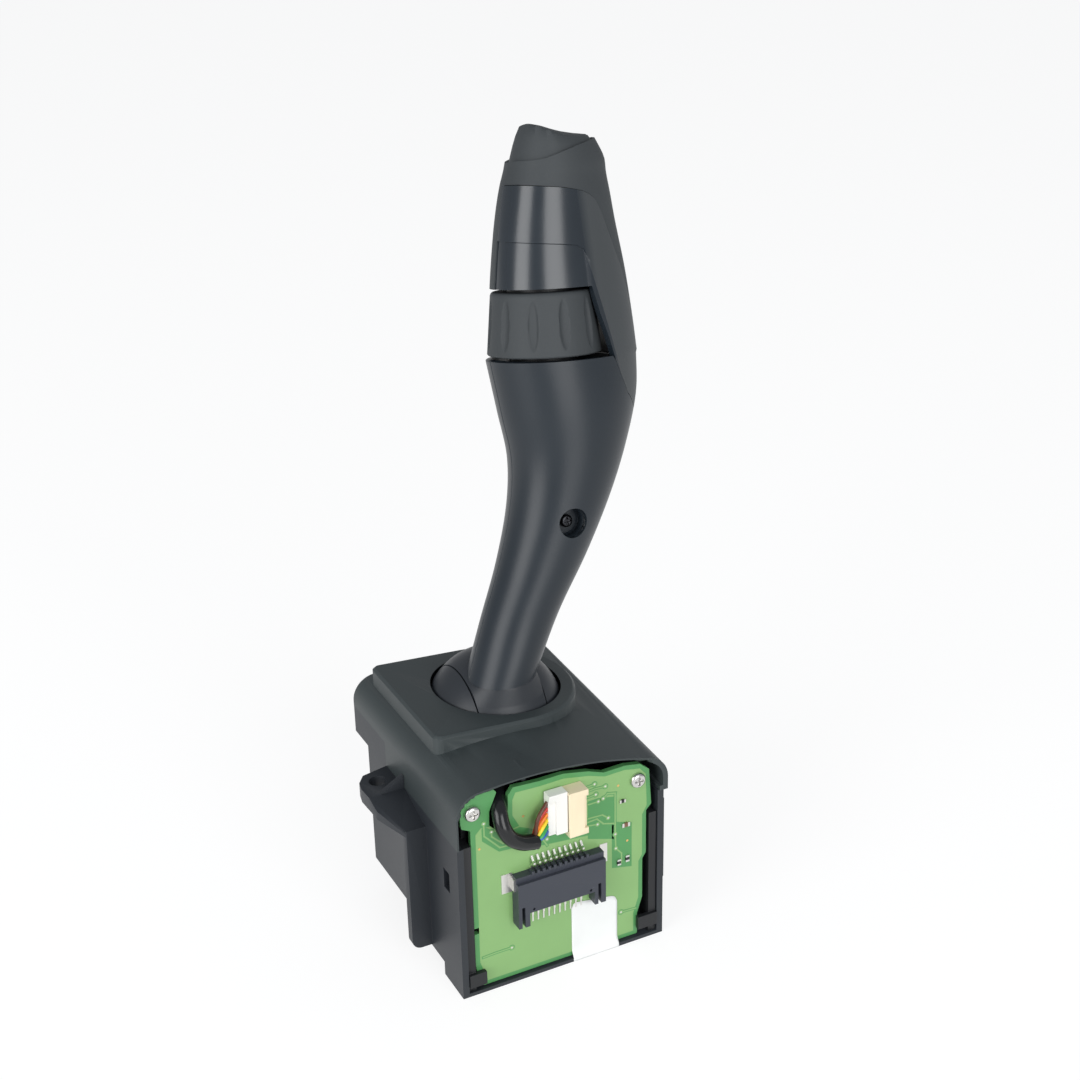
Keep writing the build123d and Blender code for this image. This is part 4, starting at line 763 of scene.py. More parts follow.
class STALK_OT_head(bpy.types.Operator):
    """Makes the head's glossy front with its two bands and strip, and the matte back with the collar"""

    bl_idname = "stalk.head"
    bl_label = "Head"

    def execute(self, context):
        sizes = context.scene.stalk_sizes
        finish_piece(self.gloss(sizes), "lever", "gloss_grip", "upper_cover")
        finish_piece(self.matte(sizes), "lever", "matte_grip", "spine_cover", "button_pin")
        floor = RING_HEIGHT + RING_GAP + HEAD_FLOOR_RISE
        lid("head_floor", HEAD_SECTIONS, floor, "Black frame", "inner_plastic", True)
        self.ring_wall()
        return {"FINISHED"}

    def ring_wall(self):
        """The dark wall inside the strip, round the ring"""
        columns = turns((-WALL_TURN, WALL_TURN, 2.5))
        rows = spread(-RING_GAP - WALL_PAST[0], RING_HEIGHT + RING_GAP + WALL_PAST[1], 6)
        points = []
        for turn in columns:
            for height in rows:
                radius = RING_FOOT_RADIUS + WALL_CLEARANCE - RING_FALL * height
                points.append(from_ring(radius, math.radians(turn), height))
        wall = new_piece("ring_wall", points, grid_faces(len(columns), len(rows)), "Black frame")
        smooth(wall)
        thicken(wall, WALL_THICKNESS * MM)
        round_edges(wall, WALL_EDGE * MM)
        finish_piece(baked(wall), "lever", "inner_plastic")

    def gloss_foot(self, turn):
        if turn <= -GAP_TURN:
            return ring_plane(HEAD_SECTIONS, math.radians(turn), RING_HEIGHT + RING_GAP)
        return along_line(TONGUE_LINE, turn) + (SEAM if turn > TONGUE_TURN else 0.0)

    def gloss_rows(self, turn):
        low, high = self.gloss_foot(turn), along_line(BAND_TOP_LINE, turn)
        high = max(high, low + 0.5)
        step = min(max(along_line(STEP_LINE, turn), low + 0.2), high - 0.2)
        half = min(STEP_HALF, (high - low) * 0.1)
        return spread(low, step - half, BAND_ROWS) + spread(step + half, high, BAND_ROWS)

    def gloss_point(self, turn, height):
        degrees = math.degrees(turn)
        recess = BAND_RECESS * clamp((RIDGE_END - degrees) / RIDGE_WIDTH)
        inset = recess if height < along_line(STEP_LINE, degrees) else 0.0
        return on_section(HEAD_SECTIONS if height > HEAD_FOOT else GRIP_SECTIONS, height, turn, inset)

    def gloss(self, sizes):
        columns = turns(
            (-180 + SEAM_TURN, -86, 2.0), (-85, -60, 1.0), (-58, -26, 2.0), (-25, -18, 0.5),
            (-16, -0.6, 2.0),
        )
        points, faces = skin(columns, self.gloss_rows, self.gloss_point)
        piece = new_piece("head_front", points, faces, "Gloss band")
        smooth(piece, 28.0)
        thicken(piece, sizes.shell * HEAD_WALL_SHARE)
        round_edges(piece, sizes.edge * HEAD_EDGE_SHARE)
        return baked(piece)

    def matte_foot(self, turn):
        if turn < MATTE_FOOT_LINE[0][0]:
            return along_line(BAND_TOP_LINE, turn) + SEAM
        if turn <= GAP_TURN:
            return along_line(MATTE_FOOT_LINE, turn)
        return ring_plane(MATTE_SECTIONS, math.radians(turn), RING_HEIGHT + RING_GAP)

    def matte(self, sizes):
        columns = turns(
            (-180, -60, 2.0), (-58, -26, 2.0), (-25, -18, 0.5), (-16, 64, 2.5), (66, 82, 1.0),
            (84, 180, 2.5),
        )
        points, faces = skin(
            columns,
            lambda turn: spread(self.matte_foot(turn), along_line(RIM_LINE, turn), COLLAR_ROWS),
            lambda turn, height: on_section(MATTE_SECTIONS, height, turn),
        )
        piece = new_piece("head_back", points, faces, "Matte grain")
        join_doubles(piece)
        smooth(piece)
        thicken(piece, COLLAR_WALL * MM)
        round_edges(piece, sizes.edge * HEAD_EDGE_SHARE)
        return baked(piece)


def join_doubles(piece):
    shape = bmesh.new()
    shape.from_mesh(piece.data)
    bmesh.ops.remove_doubles(shape, verts=shape.verts, dist=SKIN_DOUBLES)
    shape.to_mesh(piece.data)
    shape.free()


# The ring's rounded ends, and points round it for each flute and up its face
RING_EDGE = 0.9
FLUTE_POINTS = 30
RING_ROWS = 34
# A flute's place round the ring, its half sizes, and the radius at which its width is measured
FLUTE_START = math.radians(4.6)
FLUTE_HALF_WIDTH = 1.5
FLUTE_HALF_HEIGHT = 6.9
FLUTE_RADIUS = 16.0


class STALK_OT_ring(bpy.types.Operator):
    """Makes the fluted ring"""

    bl_idname = "stalk.ring"
    bl_label = "Rotary ring"

    def execute(self, context):
        sizes = context.scene.stalk_sizes
        count = sizes.flutes * FLUTE_POINTS
        profile = self.profile()
        points = []
        for turn in circle(count):
            for radius, height, fluted in profile:
                depth = self.flute(turn, height, sizes) if fluted else 0.0
                points.append(from_ring(radius - depth, turn, height))
        faces = grid_faces(count, len(profile), closed=True)
        piece = new_piece("ring_fluted", points, faces, "Matte grain")
        smooth(piece, 50.0)
        finish_piece(piece, "ring", "matte_grip", "rotary_ring")
        return {"FINISHED"}

    def profile(self):
        """Outline of the ring's wall: the outer face with rounded ends, then the bore"""
        rows = self.rounding(RING_FOOT_RADIUS, RING_EDGE, -90)
        for height in spread(RING_EDGE, RING_HEIGHT - RING_EDGE, RING_ROWS):
            rows.append((RING_FOOT_RADIUS - RING_FALL * height, height, True))
        rows += self.rounding(RING_TOP_RADIUS, RING_HEIGHT - RING_EDGE, 18)
        bore = CORE_HOLE - 0.2
        return rows + [(bore, RING_HEIGHT, False), (bore, 0.0, False)]

    def rounding(self, radius, height, start):
        """Five points of a rounded end, from a turn in degrees"""
        rows = []
        for turn in spread(math.radians(start), math.radians(start + 72), 5):
            reach = radius - RING_EDGE + RING_EDGE * math.cos(turn)
            rows.append((reach, height + RING_EDGE * math.sin(turn), False))
        return rows

    def flute(self, turn, height, sizes):
        pitch = 2 * math.pi / sizes.flutes
        offset = (turn - FLUTE_START + pitch / 2) % pitch - pitch / 2
        across = offset * FLUTE_RADIUS / FLUTE_HALF_WIDTH
        along = (height - RING_HEIGHT / 2) / FLUTE_HALF_HEIGHT
        inside = 1 - across * across - along * along
        return sizes.flute_depth / MM * math.sqrt(inside) if inside > 0 else 0.0


# Ridge of the button seen from the front: across and height
BUTTON_RIDGE = (
    (22.0, 155.6), (29.2, 155.6), (31.8, 154.9), (34.5, 153.8), (38.0, 152.6), (42.0, 151.6),
    (46.3, 150.8), (48.6, 149.4),
)
# Shares of the way from the top's middle to its rim, and the button's distance from the collar's skin
BUTTON_SHARES = (0.12, 0.25, 0.4, 0.55, 0.68, 0.78, 0.86, 0.92, 0.96, 0.985, 1.0)
BUTTON_INSET = 0.95
# Share of the half width that the button's edge takes, and what its sloping left side adds
BUTTON_EDGE = 0.1
BUTTON_FLANK = 0.26
BUTTON_FACING = math.radians(20)
BUTTON_ROUND = 1.4
# How far the rim lies under the collar's, the heights of the side, and the fall at 10 mm from the ridge
BUTTON_SINK = 0.6
BUTTON_SIDE = 145.0
BUTTON_FOOT = 144.0
BUTTON_SAG = 2.2


class STALK_OT_button(bpy.types.Operator):
    """Makes the saddle-shaped button in the collar"""

    bl_idname = "stalk.button"
    bl_label = "Tip button"

    def execute(self, context):
        count = 96
        points = [self.top_point(0.0, 0.0)]
        for share in BUTTON_SHARES:
            points += [self.top_point(share, turn) for turn in circle(count)]
        for height in (BUTTON_SIDE, BUTTON_FOOT):
            points += [on_section(MATTE_SECTIONS, height, turn, BUTTON_INSET) for turn in circle(count)]
        hoops = len(BUTTON_SHARES) + 2
        faces = [(0, 1 + index, 1 + (index + 1) % count) for index in range(count)]
        faces += hoop_faces(count, hoops, start=1, flip=True)
        foot = 1 + (hoops - 1) * count
        faces.append(tuple(range(foot, foot + count))[::-1])
        piece = new_piece("button_saddle", [from_lever(point) for point in points], faces, "Matte grain")
        smooth(piece, 50.0)
        finish_piece(piece, "button", "matte_grip", "tip_button")
        return {"FINISHED"}

    def top_point(self, share, turn):
        """A place on the button's top, at a share of the way from its middle to its rim"""
        rim_height = along_line(RIM_LINE, math.degrees((turn + math.pi) % (2 * math.pi) - math.pi))
        x, y, _ = on_section(MATTE_SECTIONS, rim_height, turn, BUTTON_INSET)
        middle = section_at(MATTE_SECTIONS, rim_height)[0]
        x = middle + (x - middle) * share
        y = y * share
        full = along_line(BUTTON_RIDGE, x) - BUTTON_SAG * (y / 10.0) ** 2
        low = rim_height - BUTTON_SINK
        flank = BUTTON_EDGE + BUTTON_FLANK * max(0.0, -math.cos(turn + BUTTON_FACING))
        rise = 1 - max(0.0, 1 - (1 - share) / flank) ** BUTTON_ROUND
        return (x, y, low + (full - low) * rise)


# The cover's front edge in the housing's face: arcs through three places, with the points that each gets
COVER_ARCS = (
    ((0.0, 60.8), (2.2, 66.1), (7.5, 68.3), 8),
    ((7.5, 68.3), (34.0, 68.5), (60.5, 63.2), 24),
    ((60.5, 63.2), (65.4, 60.2), (67.1, 55.3), 8),
)
COVER_FOOT = 51.0
# The lip's wall, how far back it reaches, how far inside the edge points have to be to be moved, and the
# corner that stays as it is
LIP_WALL = 0.5
LIP_DEPTH = -0.4
LIP_INNER = 0.8
LIP_KEPT = (62.0, 61.0)


def arc_through(start, middle, end, count):
    """Points on the circle through three places"""
    (ax, ay), (bx, by), (cx, cy) = start, middle, end
    d = 2 * (ax * (by - cy) + bx * (cy - ay) + cx * (ay - by))
    a, b, c = ax * ax + ay * ay, bx * bx + by * by, cx * cx + cy * cy
    x = (a * (by - cy) + b * (cy - ay) + c * (ay - by)) / d
    y = (a * (cx - bx) + b * (ax - cx) + c * (bx - ax)) / d
    radius = math.hypot(ax - x, ay - y)
    first, last = math.atan2(ay - y, ax - x), math.atan2(cy - y, cx - x)
    return [
        (x + radius * math.cos(turn), y + radius * math.sin(turn)) for turn in spread(first, last, count)
    ]


def nearest_on(outline, x, z):
    found = []
    for (x0, z0), (x1, z1) in zip(outline, outline[1:]):
        span = (x1 - x0) ** 2 + (z1 - z0) ** 2
        along = (x - x0) * (x1 - x0) + (z - z0) * (z1 - z0)
        share = clamp(along / max(span, 1e-9))
        found.append((x0 + (x1 - x0) * share, z0 + (z1 - z0) * share))
    return min(found, key=lambda edge: math.hypot(x - edge[0], z - edge[1]))


def thin_lip(shape):
    """Thins the cover's wall at its open front, where the real one ends in a thin lip"""
    start, end = COVER_ARCS[0][0], COVER_ARCS[-1][2]
    outline = [(start[0], COVER_FOOT), start]
    for arc in COVER_ARCS:
        outline += arc_through(*arc)
    outline.append((end[0], COVER_FOOT))
    for vert in shape.verts:
        place = vert.co / MM - BOX_CORNER
        if place.y > LIP_DEPTH or (place.x > LIP_KEPT[0] and place.z < LIP_KEPT[1]):
            continue
        x, z = nearest_on(outline, place.x, place.z)
        distance = math.hypot(place.x - x, place.z - z)
        if distance > LIP_INNER:
            part = (distance - LIP_WALL) / distance
            place.x += (x - place.x) * part
            place.z += (z - place.z) * part
            vert.co = (place + BOX_CORNER) * MM


# Carried-over nodes that get rounded edges: edge, body and slot
SOFTENED_NODES = {
    "main_housing": (0.45, "housing", "housing_plastic"),
    "top_cover": (0.45, "housing", "cover_plastic", thin_lip),
    "board_carrier": (0.2, "housing", "inner_plastic"),
    "edge_connector": (0.12, "housing", "connector_black"),
    "harness_header": (0.15, "housing", "header_cream"),
    "harness_plug": (0.15, "housing", "plug_white"),
    "board_screws": (0.08, "housing", "steel"),
    "gimbal_dome": (0.15, "gimbal", "ball_plastic"),
    "slide_strip": (0.15, "lever", "ball_plastic"),
}


class STALK_OT_housing(bpy.types.Operator):
    """Rounds the moulded edges of the housing, the cover, the ball joint and the connectors"""

    bl_idname = "stalk.housing"
    bl_label = "Housing and connectors"

    def execute(self, context):
        for node, values in SOFTENED_NODES.items():
            softened(node, *values)
        return {"FINISHED"}


# Circuit board. Places on it are across and up from the housing's lower left front corner
BOARD_DEPTH = 1.2
COPPER_OUTLINE = (
    (8.4, 2.9), (56.6, 2.9), (56.6, 9.4), (58.3, 14.6), (58.3, 27.5), (59.5, 29.5), (59.5, 43.5),
    (61.0, 46.2), (60.6, 57.0), (58.6, 59.4), (53.6, 60.4), (47.2, 60.2), (42.0, 62.0), (34.0, 63.6),
    (26.5, 63.4), (18.9, 63.7), (17.9, 61.5), (17.8, 56.5), (19.8, 52.4), (14.4, 51.6), (11.0, 55.0),
    (8.0, 55.4), (6.3, 53.6), (6.2, 10.0),
)
DARK_WINDOWS = (
    ((41.5, 40.8), (50.7, 37.8), (50.7, 52.4), (45.0, 53.6), (41.6, 53.5)),
    ((49.4, 28.0), (56.0, 26.5), (56.0, 41.9), (49.4, 44.1)),
    (
        (13.3, 45.9), (26.0, 45.0), (26.0, 49.0), (20.0, 52.0), (14.0, 51.4), (9.4, 55.3), (8.2, 55.0),
        (8.2, 51.0),
    ),
    ((26.0, 43.6), (41.6, 42.0), (41.6, 46.6), (26.0, 46.8)),
)
TRACES = (
    ((39.5, 58.3), (42.0, 58.5), (43.8, 58.7)),
    ((39.5, 56.7), (44.0, 57.1), (47.3, 56.9)),
    ((40.0, 54.9), (42.2, 54.9), (44.2, 55.1)),
    ((40.0, 52.6), (42.5, 52.4), (45.0, 52.5)),
    ((46.6, 53.0), (48.0, 54.2), (50.6, 53.6)),
    ((41.0, 47.7), (46.3, 47.5), (48.2, 45.9)),
    ((41.0, 46.4), (44.5, 46.7), (46.6, 44.4), (50.0, 43.4)),
    ((41.0, 45.3), (44.7, 44.8)),
    ((50.5, 53.2), (50.5, 39.5), (50.7, 34.5), (52.6, 32.2), (52.6, 29.0)),
    ((8.9, 56.6), (8.9, 52.5), (13.6, 47.2), (20.0, 46.8), (24.5, 44.2)),
    ((11.2, 53.2), (11.2, 51.6), (14.6, 48.2), (21.0, 47.8), (25.5, 45.2)),
    ((14.5, 49.5), (22.0, 48.9), (27.0, 45.5), (28.4, 43.0)),
    ((16.3, 11.6), (11.0, 11.6), (7.2, 11.4)),
    ((52.4, 11.2), (57.4, 10.9)),
)
VIAS = (
    (43.8, 58.7), (47.3, 56.9), (44.2, 55.1), (45.0, 52.5), (46.6, 53.0), (48.2, 45.9), (44.7, 44.8),
    (50.5, 39.5), (50.7, 34.5), (8.9, 56.6), (11.2, 53.2), (14.5, 49.5), (28.4, 45.1), (39.8, 43.6),
    (16.3, 11.6), (52.4, 11.2),
)
GOLD_DOTS = ((7.3, 48.7), (51.5, 55.8), (21.1, 55.2), (54.5, 36.0))
LAYER = 0.02
TRACE_WIDTH = 0.45
TRACE_GAP_WIDTH = 0.95
VIA_WIDTH = 0.62
VIA_PAD_RADIUS = 0.7
VIA_GAP_RADIUS = 0.95
GOLD_WIDTH = 0.75
# How many layers proud each kind of artwork lies, and what lifts crossing pieces apart
COPPER_LEVEL = 1
WINDOW_LEVEL = 2
GAP_LEVEL = 2.4
VIA_GAP_LEVEL = 3.4
TRACE_LEVEL = 3.6
GOLD_LEVEL = 4
VIA_LEVEL = 4.2
VIA_METAL_LEVEL = 5.5
LINE_LIFT = 0.03
PART_LIFT = 0.1


def flat_layer(shape, outline, level):
    """A thin plate on the board, its face so many layers proud"""
    rows = []
    for y in (BOARD_DEPTH - LAYER * level, BOARD_DEPTH):
        rows.append([shape.verts.new(from_box(x, y, z)) for x, z in outline])
    front, back = rows
    shape.faces.new(front)
    shape.faces.new(back[::-1])
    for index in range(len(outline)):
        after = (index + 1) % len(outline)
        shape.faces.new((front[index], back[index], back[after], front[after]))


def ribbon(shape, line, width, level):
    half = width / 2
    for part, ((x0, z0), (x1, z1)) in enumerate(zip(line, line[1:])):
        length = math.hypot(x1 - x0, z1 - z0)
        ux, uz = (x1 - x0) / length, (z1 - z0) / length
        x0, z0, x1, z1 = x0 - ux * half, z0 - uz * half, x1 + ux * half, z1 + uz * half
        sx, sz = -uz * half, ux * half
        corners = ((x0 - sx, z0 - sz), (x1 - sx, z1 - sz), (x1 + sx, z1 + sz), (x0 + sx, z0 + sz))
        flat_layer(shape, corners, level + PART_LIFT * part)


def pad(shape, x, z, radius, level):
    outline = [(x + radius * math.cos(turn), z + radius * math.sin(turn)) for turn in circle(16)]
    flat_layer(shape, outline, level)


class STALK_OT_board_art(bpy.types.Operator):
    """Makes the copper areas, traces and vias under the board's lacquer"""

    bl_idname = "stalk.board_art"
    bl_label = "Board artwork"

    def execute(self, context):
        self.layer("copper_areas", "Board lacquer", self.areas)
        self.layer("copper_gaps", "Bare board lacquer", self.gaps)
        self.layer("copper_traces", "Board lacquer", self.traces)
        self.dots("via_rings", VIAS, VIA_WIDTH, VIA_METAL_LEVEL, "Tinned metal")
        self.dots("gold_dots", GOLD_DOTS, GOLD_WIDTH, GOLD_LEVEL, "Gold pad")
        return {"FINISHED"}

    def layer(self, name, finish, draw):
        shape = bmesh.new()
        draw(shape)
        finish_piece(piece_from(shape, name, finish), "housing", "board_green")

    def areas(self, shape):
        flat_layer(shape, COPPER_OUTLINE, COPPER_LEVEL)

    def gaps(self, shape):
        for outline in DARK_WINDOWS:
            flat_layer(shape, outline, WINDOW_LEVEL)
        for index, line in enumerate(TRACES):
            ribbon(shape, line, TRACE_GAP_WIDTH, GAP_LEVEL + LINE_LIFT * index)
        for x, z in VIAS:
            pad(shape, x, z, VIA_GAP_RADIUS, VIA_GAP_LEVEL)

    def traces(self, shape):
        for line in TRACES:
            ribbon(shape, line, TRACE_WIDTH, TRACE_LEVEL)
        for x, z in VIAS:
            pad(shape, x, z, VIA_PAD_RADIUS, VIA_LEVEL)

    def dots(self, name, places, size, level, finish):
        """Flat round dots on the board's places, by geometry nodes"""
        mesh = bpy.data.meshes.new(name)
        mesh.from_pydata([from_box(x, BOARD_DEPTH - LAYER * level / 2, z) for x, z in places], [], [])
        piece = linked(name, mesh)
        tree = dots_tree(name, FINISHES[finish])
        modifier = piece.modifiers.new("Dots", "NODES")
        modifier.node_group = tree
        values = {"Radius": size / 2 * MM, "Height": LAYER * level * MM}
        for item in tree.interface.items_tree:
            if item.name in values:
                modifier[item.identifier] = values[item.name]
        finish_piece(baked(piece), "housing", "tin")


def dots_tree(name, material):
    tree = bpy.data.node_groups.new(name, "GeometryNodeTree")
    face = tree.interface.new_socket
    face("Geometry", in_out="INPUT", socket_type="NodeSocketGeometry")
    face("Radius", in_out="INPUT", socket_type="NodeSocketFloat").default_value = 0.3 * MM
    face("Height", in_out="INPUT", socket_type="NodeSocketFloat").default_value = 0.1 * MM
    face("Geometry", in_out="OUTPUT", socket_type="NodeSocketGeometry")
    entry = shader_node(tree, "NodeGroupInput")
    leave = shader_node(tree, "NodeGroupOutput")
    disc = shader_node(tree, "GeometryNodeMeshCylinder", {"Vertices": 20})
    placed = shader_node(tree, "GeometryNodeInstanceOnPoints", {"Rotation": (math.radians(90), 0, 0)})
    real = shader_node(tree, "GeometryNodeRealizeInstances")
    paint = shader_node(tree, "GeometryNodeSetMaterial", {"Material": material})
    for giver, output, taker, entered in (
        (entry, "Geometry", placed, "Points"),
        (entry, "Radius", disc, "Radius"),
        (entry, "Height", disc, "Depth"),
        (disc, "Mesh", placed, "Instance"),
        (placed, "Instances", real, "Geometry"),
        (real, "Geometry", paint, "Geometry"),
        (paint, "Geometry", leave, "Geometry"),
    ):
        tree.links.new(giver.outputs[output], taker.inputs[entered])
    return tree


# Soldered parts: left, foot, width, height and finish
SMALL_PARTS = (
    (52.6, 41.2, 2.6, 1.3, "Brown part"),
    (53.8, 28.9, 1.2, 2.2, "Chip body"),
    (51.0, 28.5, 1.2, 2.0, "Chip body"),
    (51.8, 49.8, 2.0, 1.0, "Chip body"),
)
# How far a part stands off the board, the caps' share of its length, and how far they stand proud of it
PART_HEIGHT = 0.55
CAP_SHARE = 0.28
CAP_PROUD = 0.04
# The wide connector: its contacts, their tails and the teeth of its comb
CONTACT_COUNT = 10
CONTACT_PITCH = 1.75
CONNECTOR_MIDDLE = 31.1
TAIL_HALF = 0.24
TAIL_DEPTHS = (BOARD_DEPTH - 0.3, BOARD_DEPTH - 0.02)
TAIL_HEIGHTS = (18.6, 23.6)
TOOTH_HALF = 0.45
TOOTH_DEPTHS = (-1.9, 0.2)
TOOTH_HEIGHTS = (36.6, 37.9)


def brick(shape, x0, x1, y0, y1, z0, z1):
    corners = [shape.verts.new(from_box(x, y, z)) for x in (x0, x1) for y in (y0, y1) for z in (z0, z1)]
    for quad in ((0, 1, 3, 2), (4, 6, 7, 5), (0, 4, 5, 1), (2, 3, 7, 6), (0, 2, 6, 4), (1, 5, 7, 3)):
        shape.faces.new([corners[index] for index in quad])


class STALK_OT_small_parts(bpy.types.Operator):
    """Makes the small soldered parts, the contacts' tails and the comb on the wide connector"""

    bl_idname = "stalk.small_parts"
    bl_label = "Small parts"

    def execute(self, context):
        for index, part in enumerate(SMALL_PARTS):
            self.part(index, *part)
        shape = self.row(CONTACT_COUNT, TAIL_HALF, *TAIL_DEPTHS, *TAIL_HEIGHTS)
        self.piece("contact_tails", "Tinned metal", shape, "tin", 0.05)
        shape = self.row(CONTACT_COUNT + 1, TOOTH_HALF, *TOOTH_DEPTHS, *TOOTH_HEIGHTS)
        self.piece("connector_comb", "Connector plastic", shape, "connector_black", 0.12)
        return {"FINISHED"}

    def row(self, count, half, y0, y1, z0, z1):
        """Like bricks at the contacts' pitch, either side of the connector's middle"""
        shape = bmesh.new()
        for index in range(count):
            x = CONNECTOR_MIDDLE + CONTACT_PITCH * (index - (count - 1) / 2)
            brick(shape, x - half, x + half, y0, y1, z0, z1)
        return shape

    def piece(self, name, finish, shape, slot, edge, *nodes):
        bmesh.ops.recalc_face_normals(shape, faces=shape.faces)
        piece = piece_from(shape, name, finish)
        round_edges(piece, edge * MM)
        finish_piece(baked(piece), "housing", slot, *nodes)

    def part(self, index, x, z, wide, tall, finish):
        """A body between two metal caps, which lie at the ends of its longer side"""
        long = max(wide, tall)
        cap = CAP_SHARE * long
        front = BOARD_DEPTH - PART_HEIGHT
        body, ends = bmesh.new(), bmesh.new()
        for shape, start, end, proud in (
            (body, cap, long - cap, 0.0), (ends, 0.0, cap, CAP_PROUD), (ends, long - cap, long, CAP_PROUD),
        ):
            across, up = (x - proud, x + wide + proud), (z - proud, z + tall + proud)
            if wide > tall:
                across = (x + start, x + end)
            else:
                up = (z + start, z + end)
            brick(shape, *across, front - proud, BOARD_DEPTH, *up)
        self.piece(f"part_body_{index}", finish, body, "chip_black", 0.05, "board_parts")
        self.piece(f"part_ends_{index}", "Tinned metal", ends, "tin", 0.08)


# Leads: where they leave the sleeve and reach the plug, their pitch there and their radius
SLEEVE_END = (22.9, -2.4, 48.3)
SLEEVE_SPREAD = 1.35
PLUG_END = (27.5, -1.2, 49.7)
PLUG_PITCH = 1.9
LEAD_RADIUS = 0.6
# Across, in depth and up: how a lead bows and what each next lead adds, and the share of the way at which
# its middle lies
LEAD_BOWS = ((-1.108, 0.176), (-0.5, -0.12), (0.0, 0.08))
LEAD_MIDDLES = (0.5, 0.5, 0.62)


class STALK_OT_leads(bpy.types.Operator):
    """Makes the six coloured leads from the sleeve to the white plug"""

    bl_idname = "stalk.leads"
    bl_label = "Leads"

    def execute(self, context):
        pieces = [self.lead(index, finish) for index, finish in enumerate(WIRE_COLOURS)]
        for piece in pieces:
            finish_piece(piece, "housing", "wire_colours", "harness_wires")
        return {"FINISHED"}

    def lead(self, index, finish):
        turn = 2 * math.pi * index / len(WIRE_COLOURS)
        x, y, z = SLEEVE_END
        start = (x, y + SLEEVE_SPREAD * math.sin(turn), z + SLEEVE_SPREAD * math.cos(turn))
        end = (*PLUG_END[:2], PLUG_END[2] + (len(WIRE_COLOURS) - 1 - index) * PLUG_PITCH)
        middle = [
            a + (b - a) * share + bow + more * index
            for a, b, share, (bow, more) in zip(start, end, LEAD_MIDDLES, LEAD_BOWS)
        ]
        curve = bpy.data.curves.new("lead", "CURVE")
        curve.dimensions = "3D"
        curve.bevel_depth = LEAD_RADIUS * MM
        curve.bevel_resolution = 4
        curve.resolution_u = 24
        curve.use_fill_caps = True
        knots = curve.splines.new("BEZIER").bezier_points
        knots.add(2)
        for knot, place in zip(knots, (start, middle, end)):
            knot.co = from_box(*place)
            knot.handle_left_type = knot.handle_right_type = "AUTO"
        name = finish.lower().replace(" ", "_")
        holder = linked(name, curve)
        graph = bpy.context.evaluated_depsgraph_get()
        mesh = bpy.data.meshes.new_from_object(holder.evaluated_get(graph))
        bpy.data.objects.remove(holder)
        mesh.materials.clear()
        mesh.materials.append(FINISHES[finish])
        return linked(name, mesh)


# The label: its sides, its foot, its top at the left and the top's slope, its corners and its thickness
LABEL_SIDES = (35.8, 51.0)
LABEL_FOOT = 0.06
LABEL_TOP = 20.4
LABEL_SLOPE = -0.16
LABEL_CORNER = 2.0
LABEL_WALL = 0.1
# Its lower rows, the heights between which it leaves the board, and its depths there
LABEL_ROWS = [LABEL_FOOT, 0.7, 1.3, 2.2, 3.4]
LABEL_BEND = (1.3, 3.4)
LABEL_DEPTHS = (-0.16, 1.0)


class STALK_OT_label(bpy.types.Operator):
    """Makes the bare white label at the board's foot"""

    bl_idname = "stalk.label"
    bl_label = "Label"

    def execute(self, context):
        left, right = LABEL_SIDES
        columns = spread(left, right, 25)
        points = []
        for x in columns:
            edge = min(x - left, right - x, LABEL_CORNER)
            drop = LABEL_CORNER - math.sqrt(max(LABEL_CORNER ** 2 - (LABEL_CORNER - edge) ** 2, 0.0))
            high = LABEL_TOP - drop + LABEL_SLOPE * (x - left)
            rows = LABEL_ROWS + spread(5.0, high, 8)
            points += [from_box(x, self.depth(z), z) for z in rows]
        piece = new_piece("bare_label", points, grid_faces(len(columns), len(rows)), "Label")
        smooth(piece)
        thicken(piece, LABEL_WALL * MM)
        finish_piece(baked(piece), "housing", None)
        return {"FINISHED"}

    def depth(self, z):
        """The label lies on the board, then comes forward over the edge of the housing's floor"""
        share = clamp((z - LABEL_BEND[0]) / (LABEL_BEND[1] - LABEL_BEND[0]))
        return LABEL_DEPTHS[0] + (LABEL_DEPTHS[1] - LABEL_DEPTHS[0]) * share


# Stage, in metres: the floor's half size, how much of its colour is its own glow, and the lamps
FLOOR_HALF = 3.0
FLOOR_GLOW_SHARE = 0.72
FLOOR_GLOW = 1.14
LEFT_LAMP = (-1.32, -0.46, 0.5)
FRONT_LAMP = (0.10, -1.40, 0.5)
LAMP_WIDTH = 0.9
LAMP_HEIGHT = 1.0
LAMP_TARGET = Vector((0.05, 0.0, 0.06))


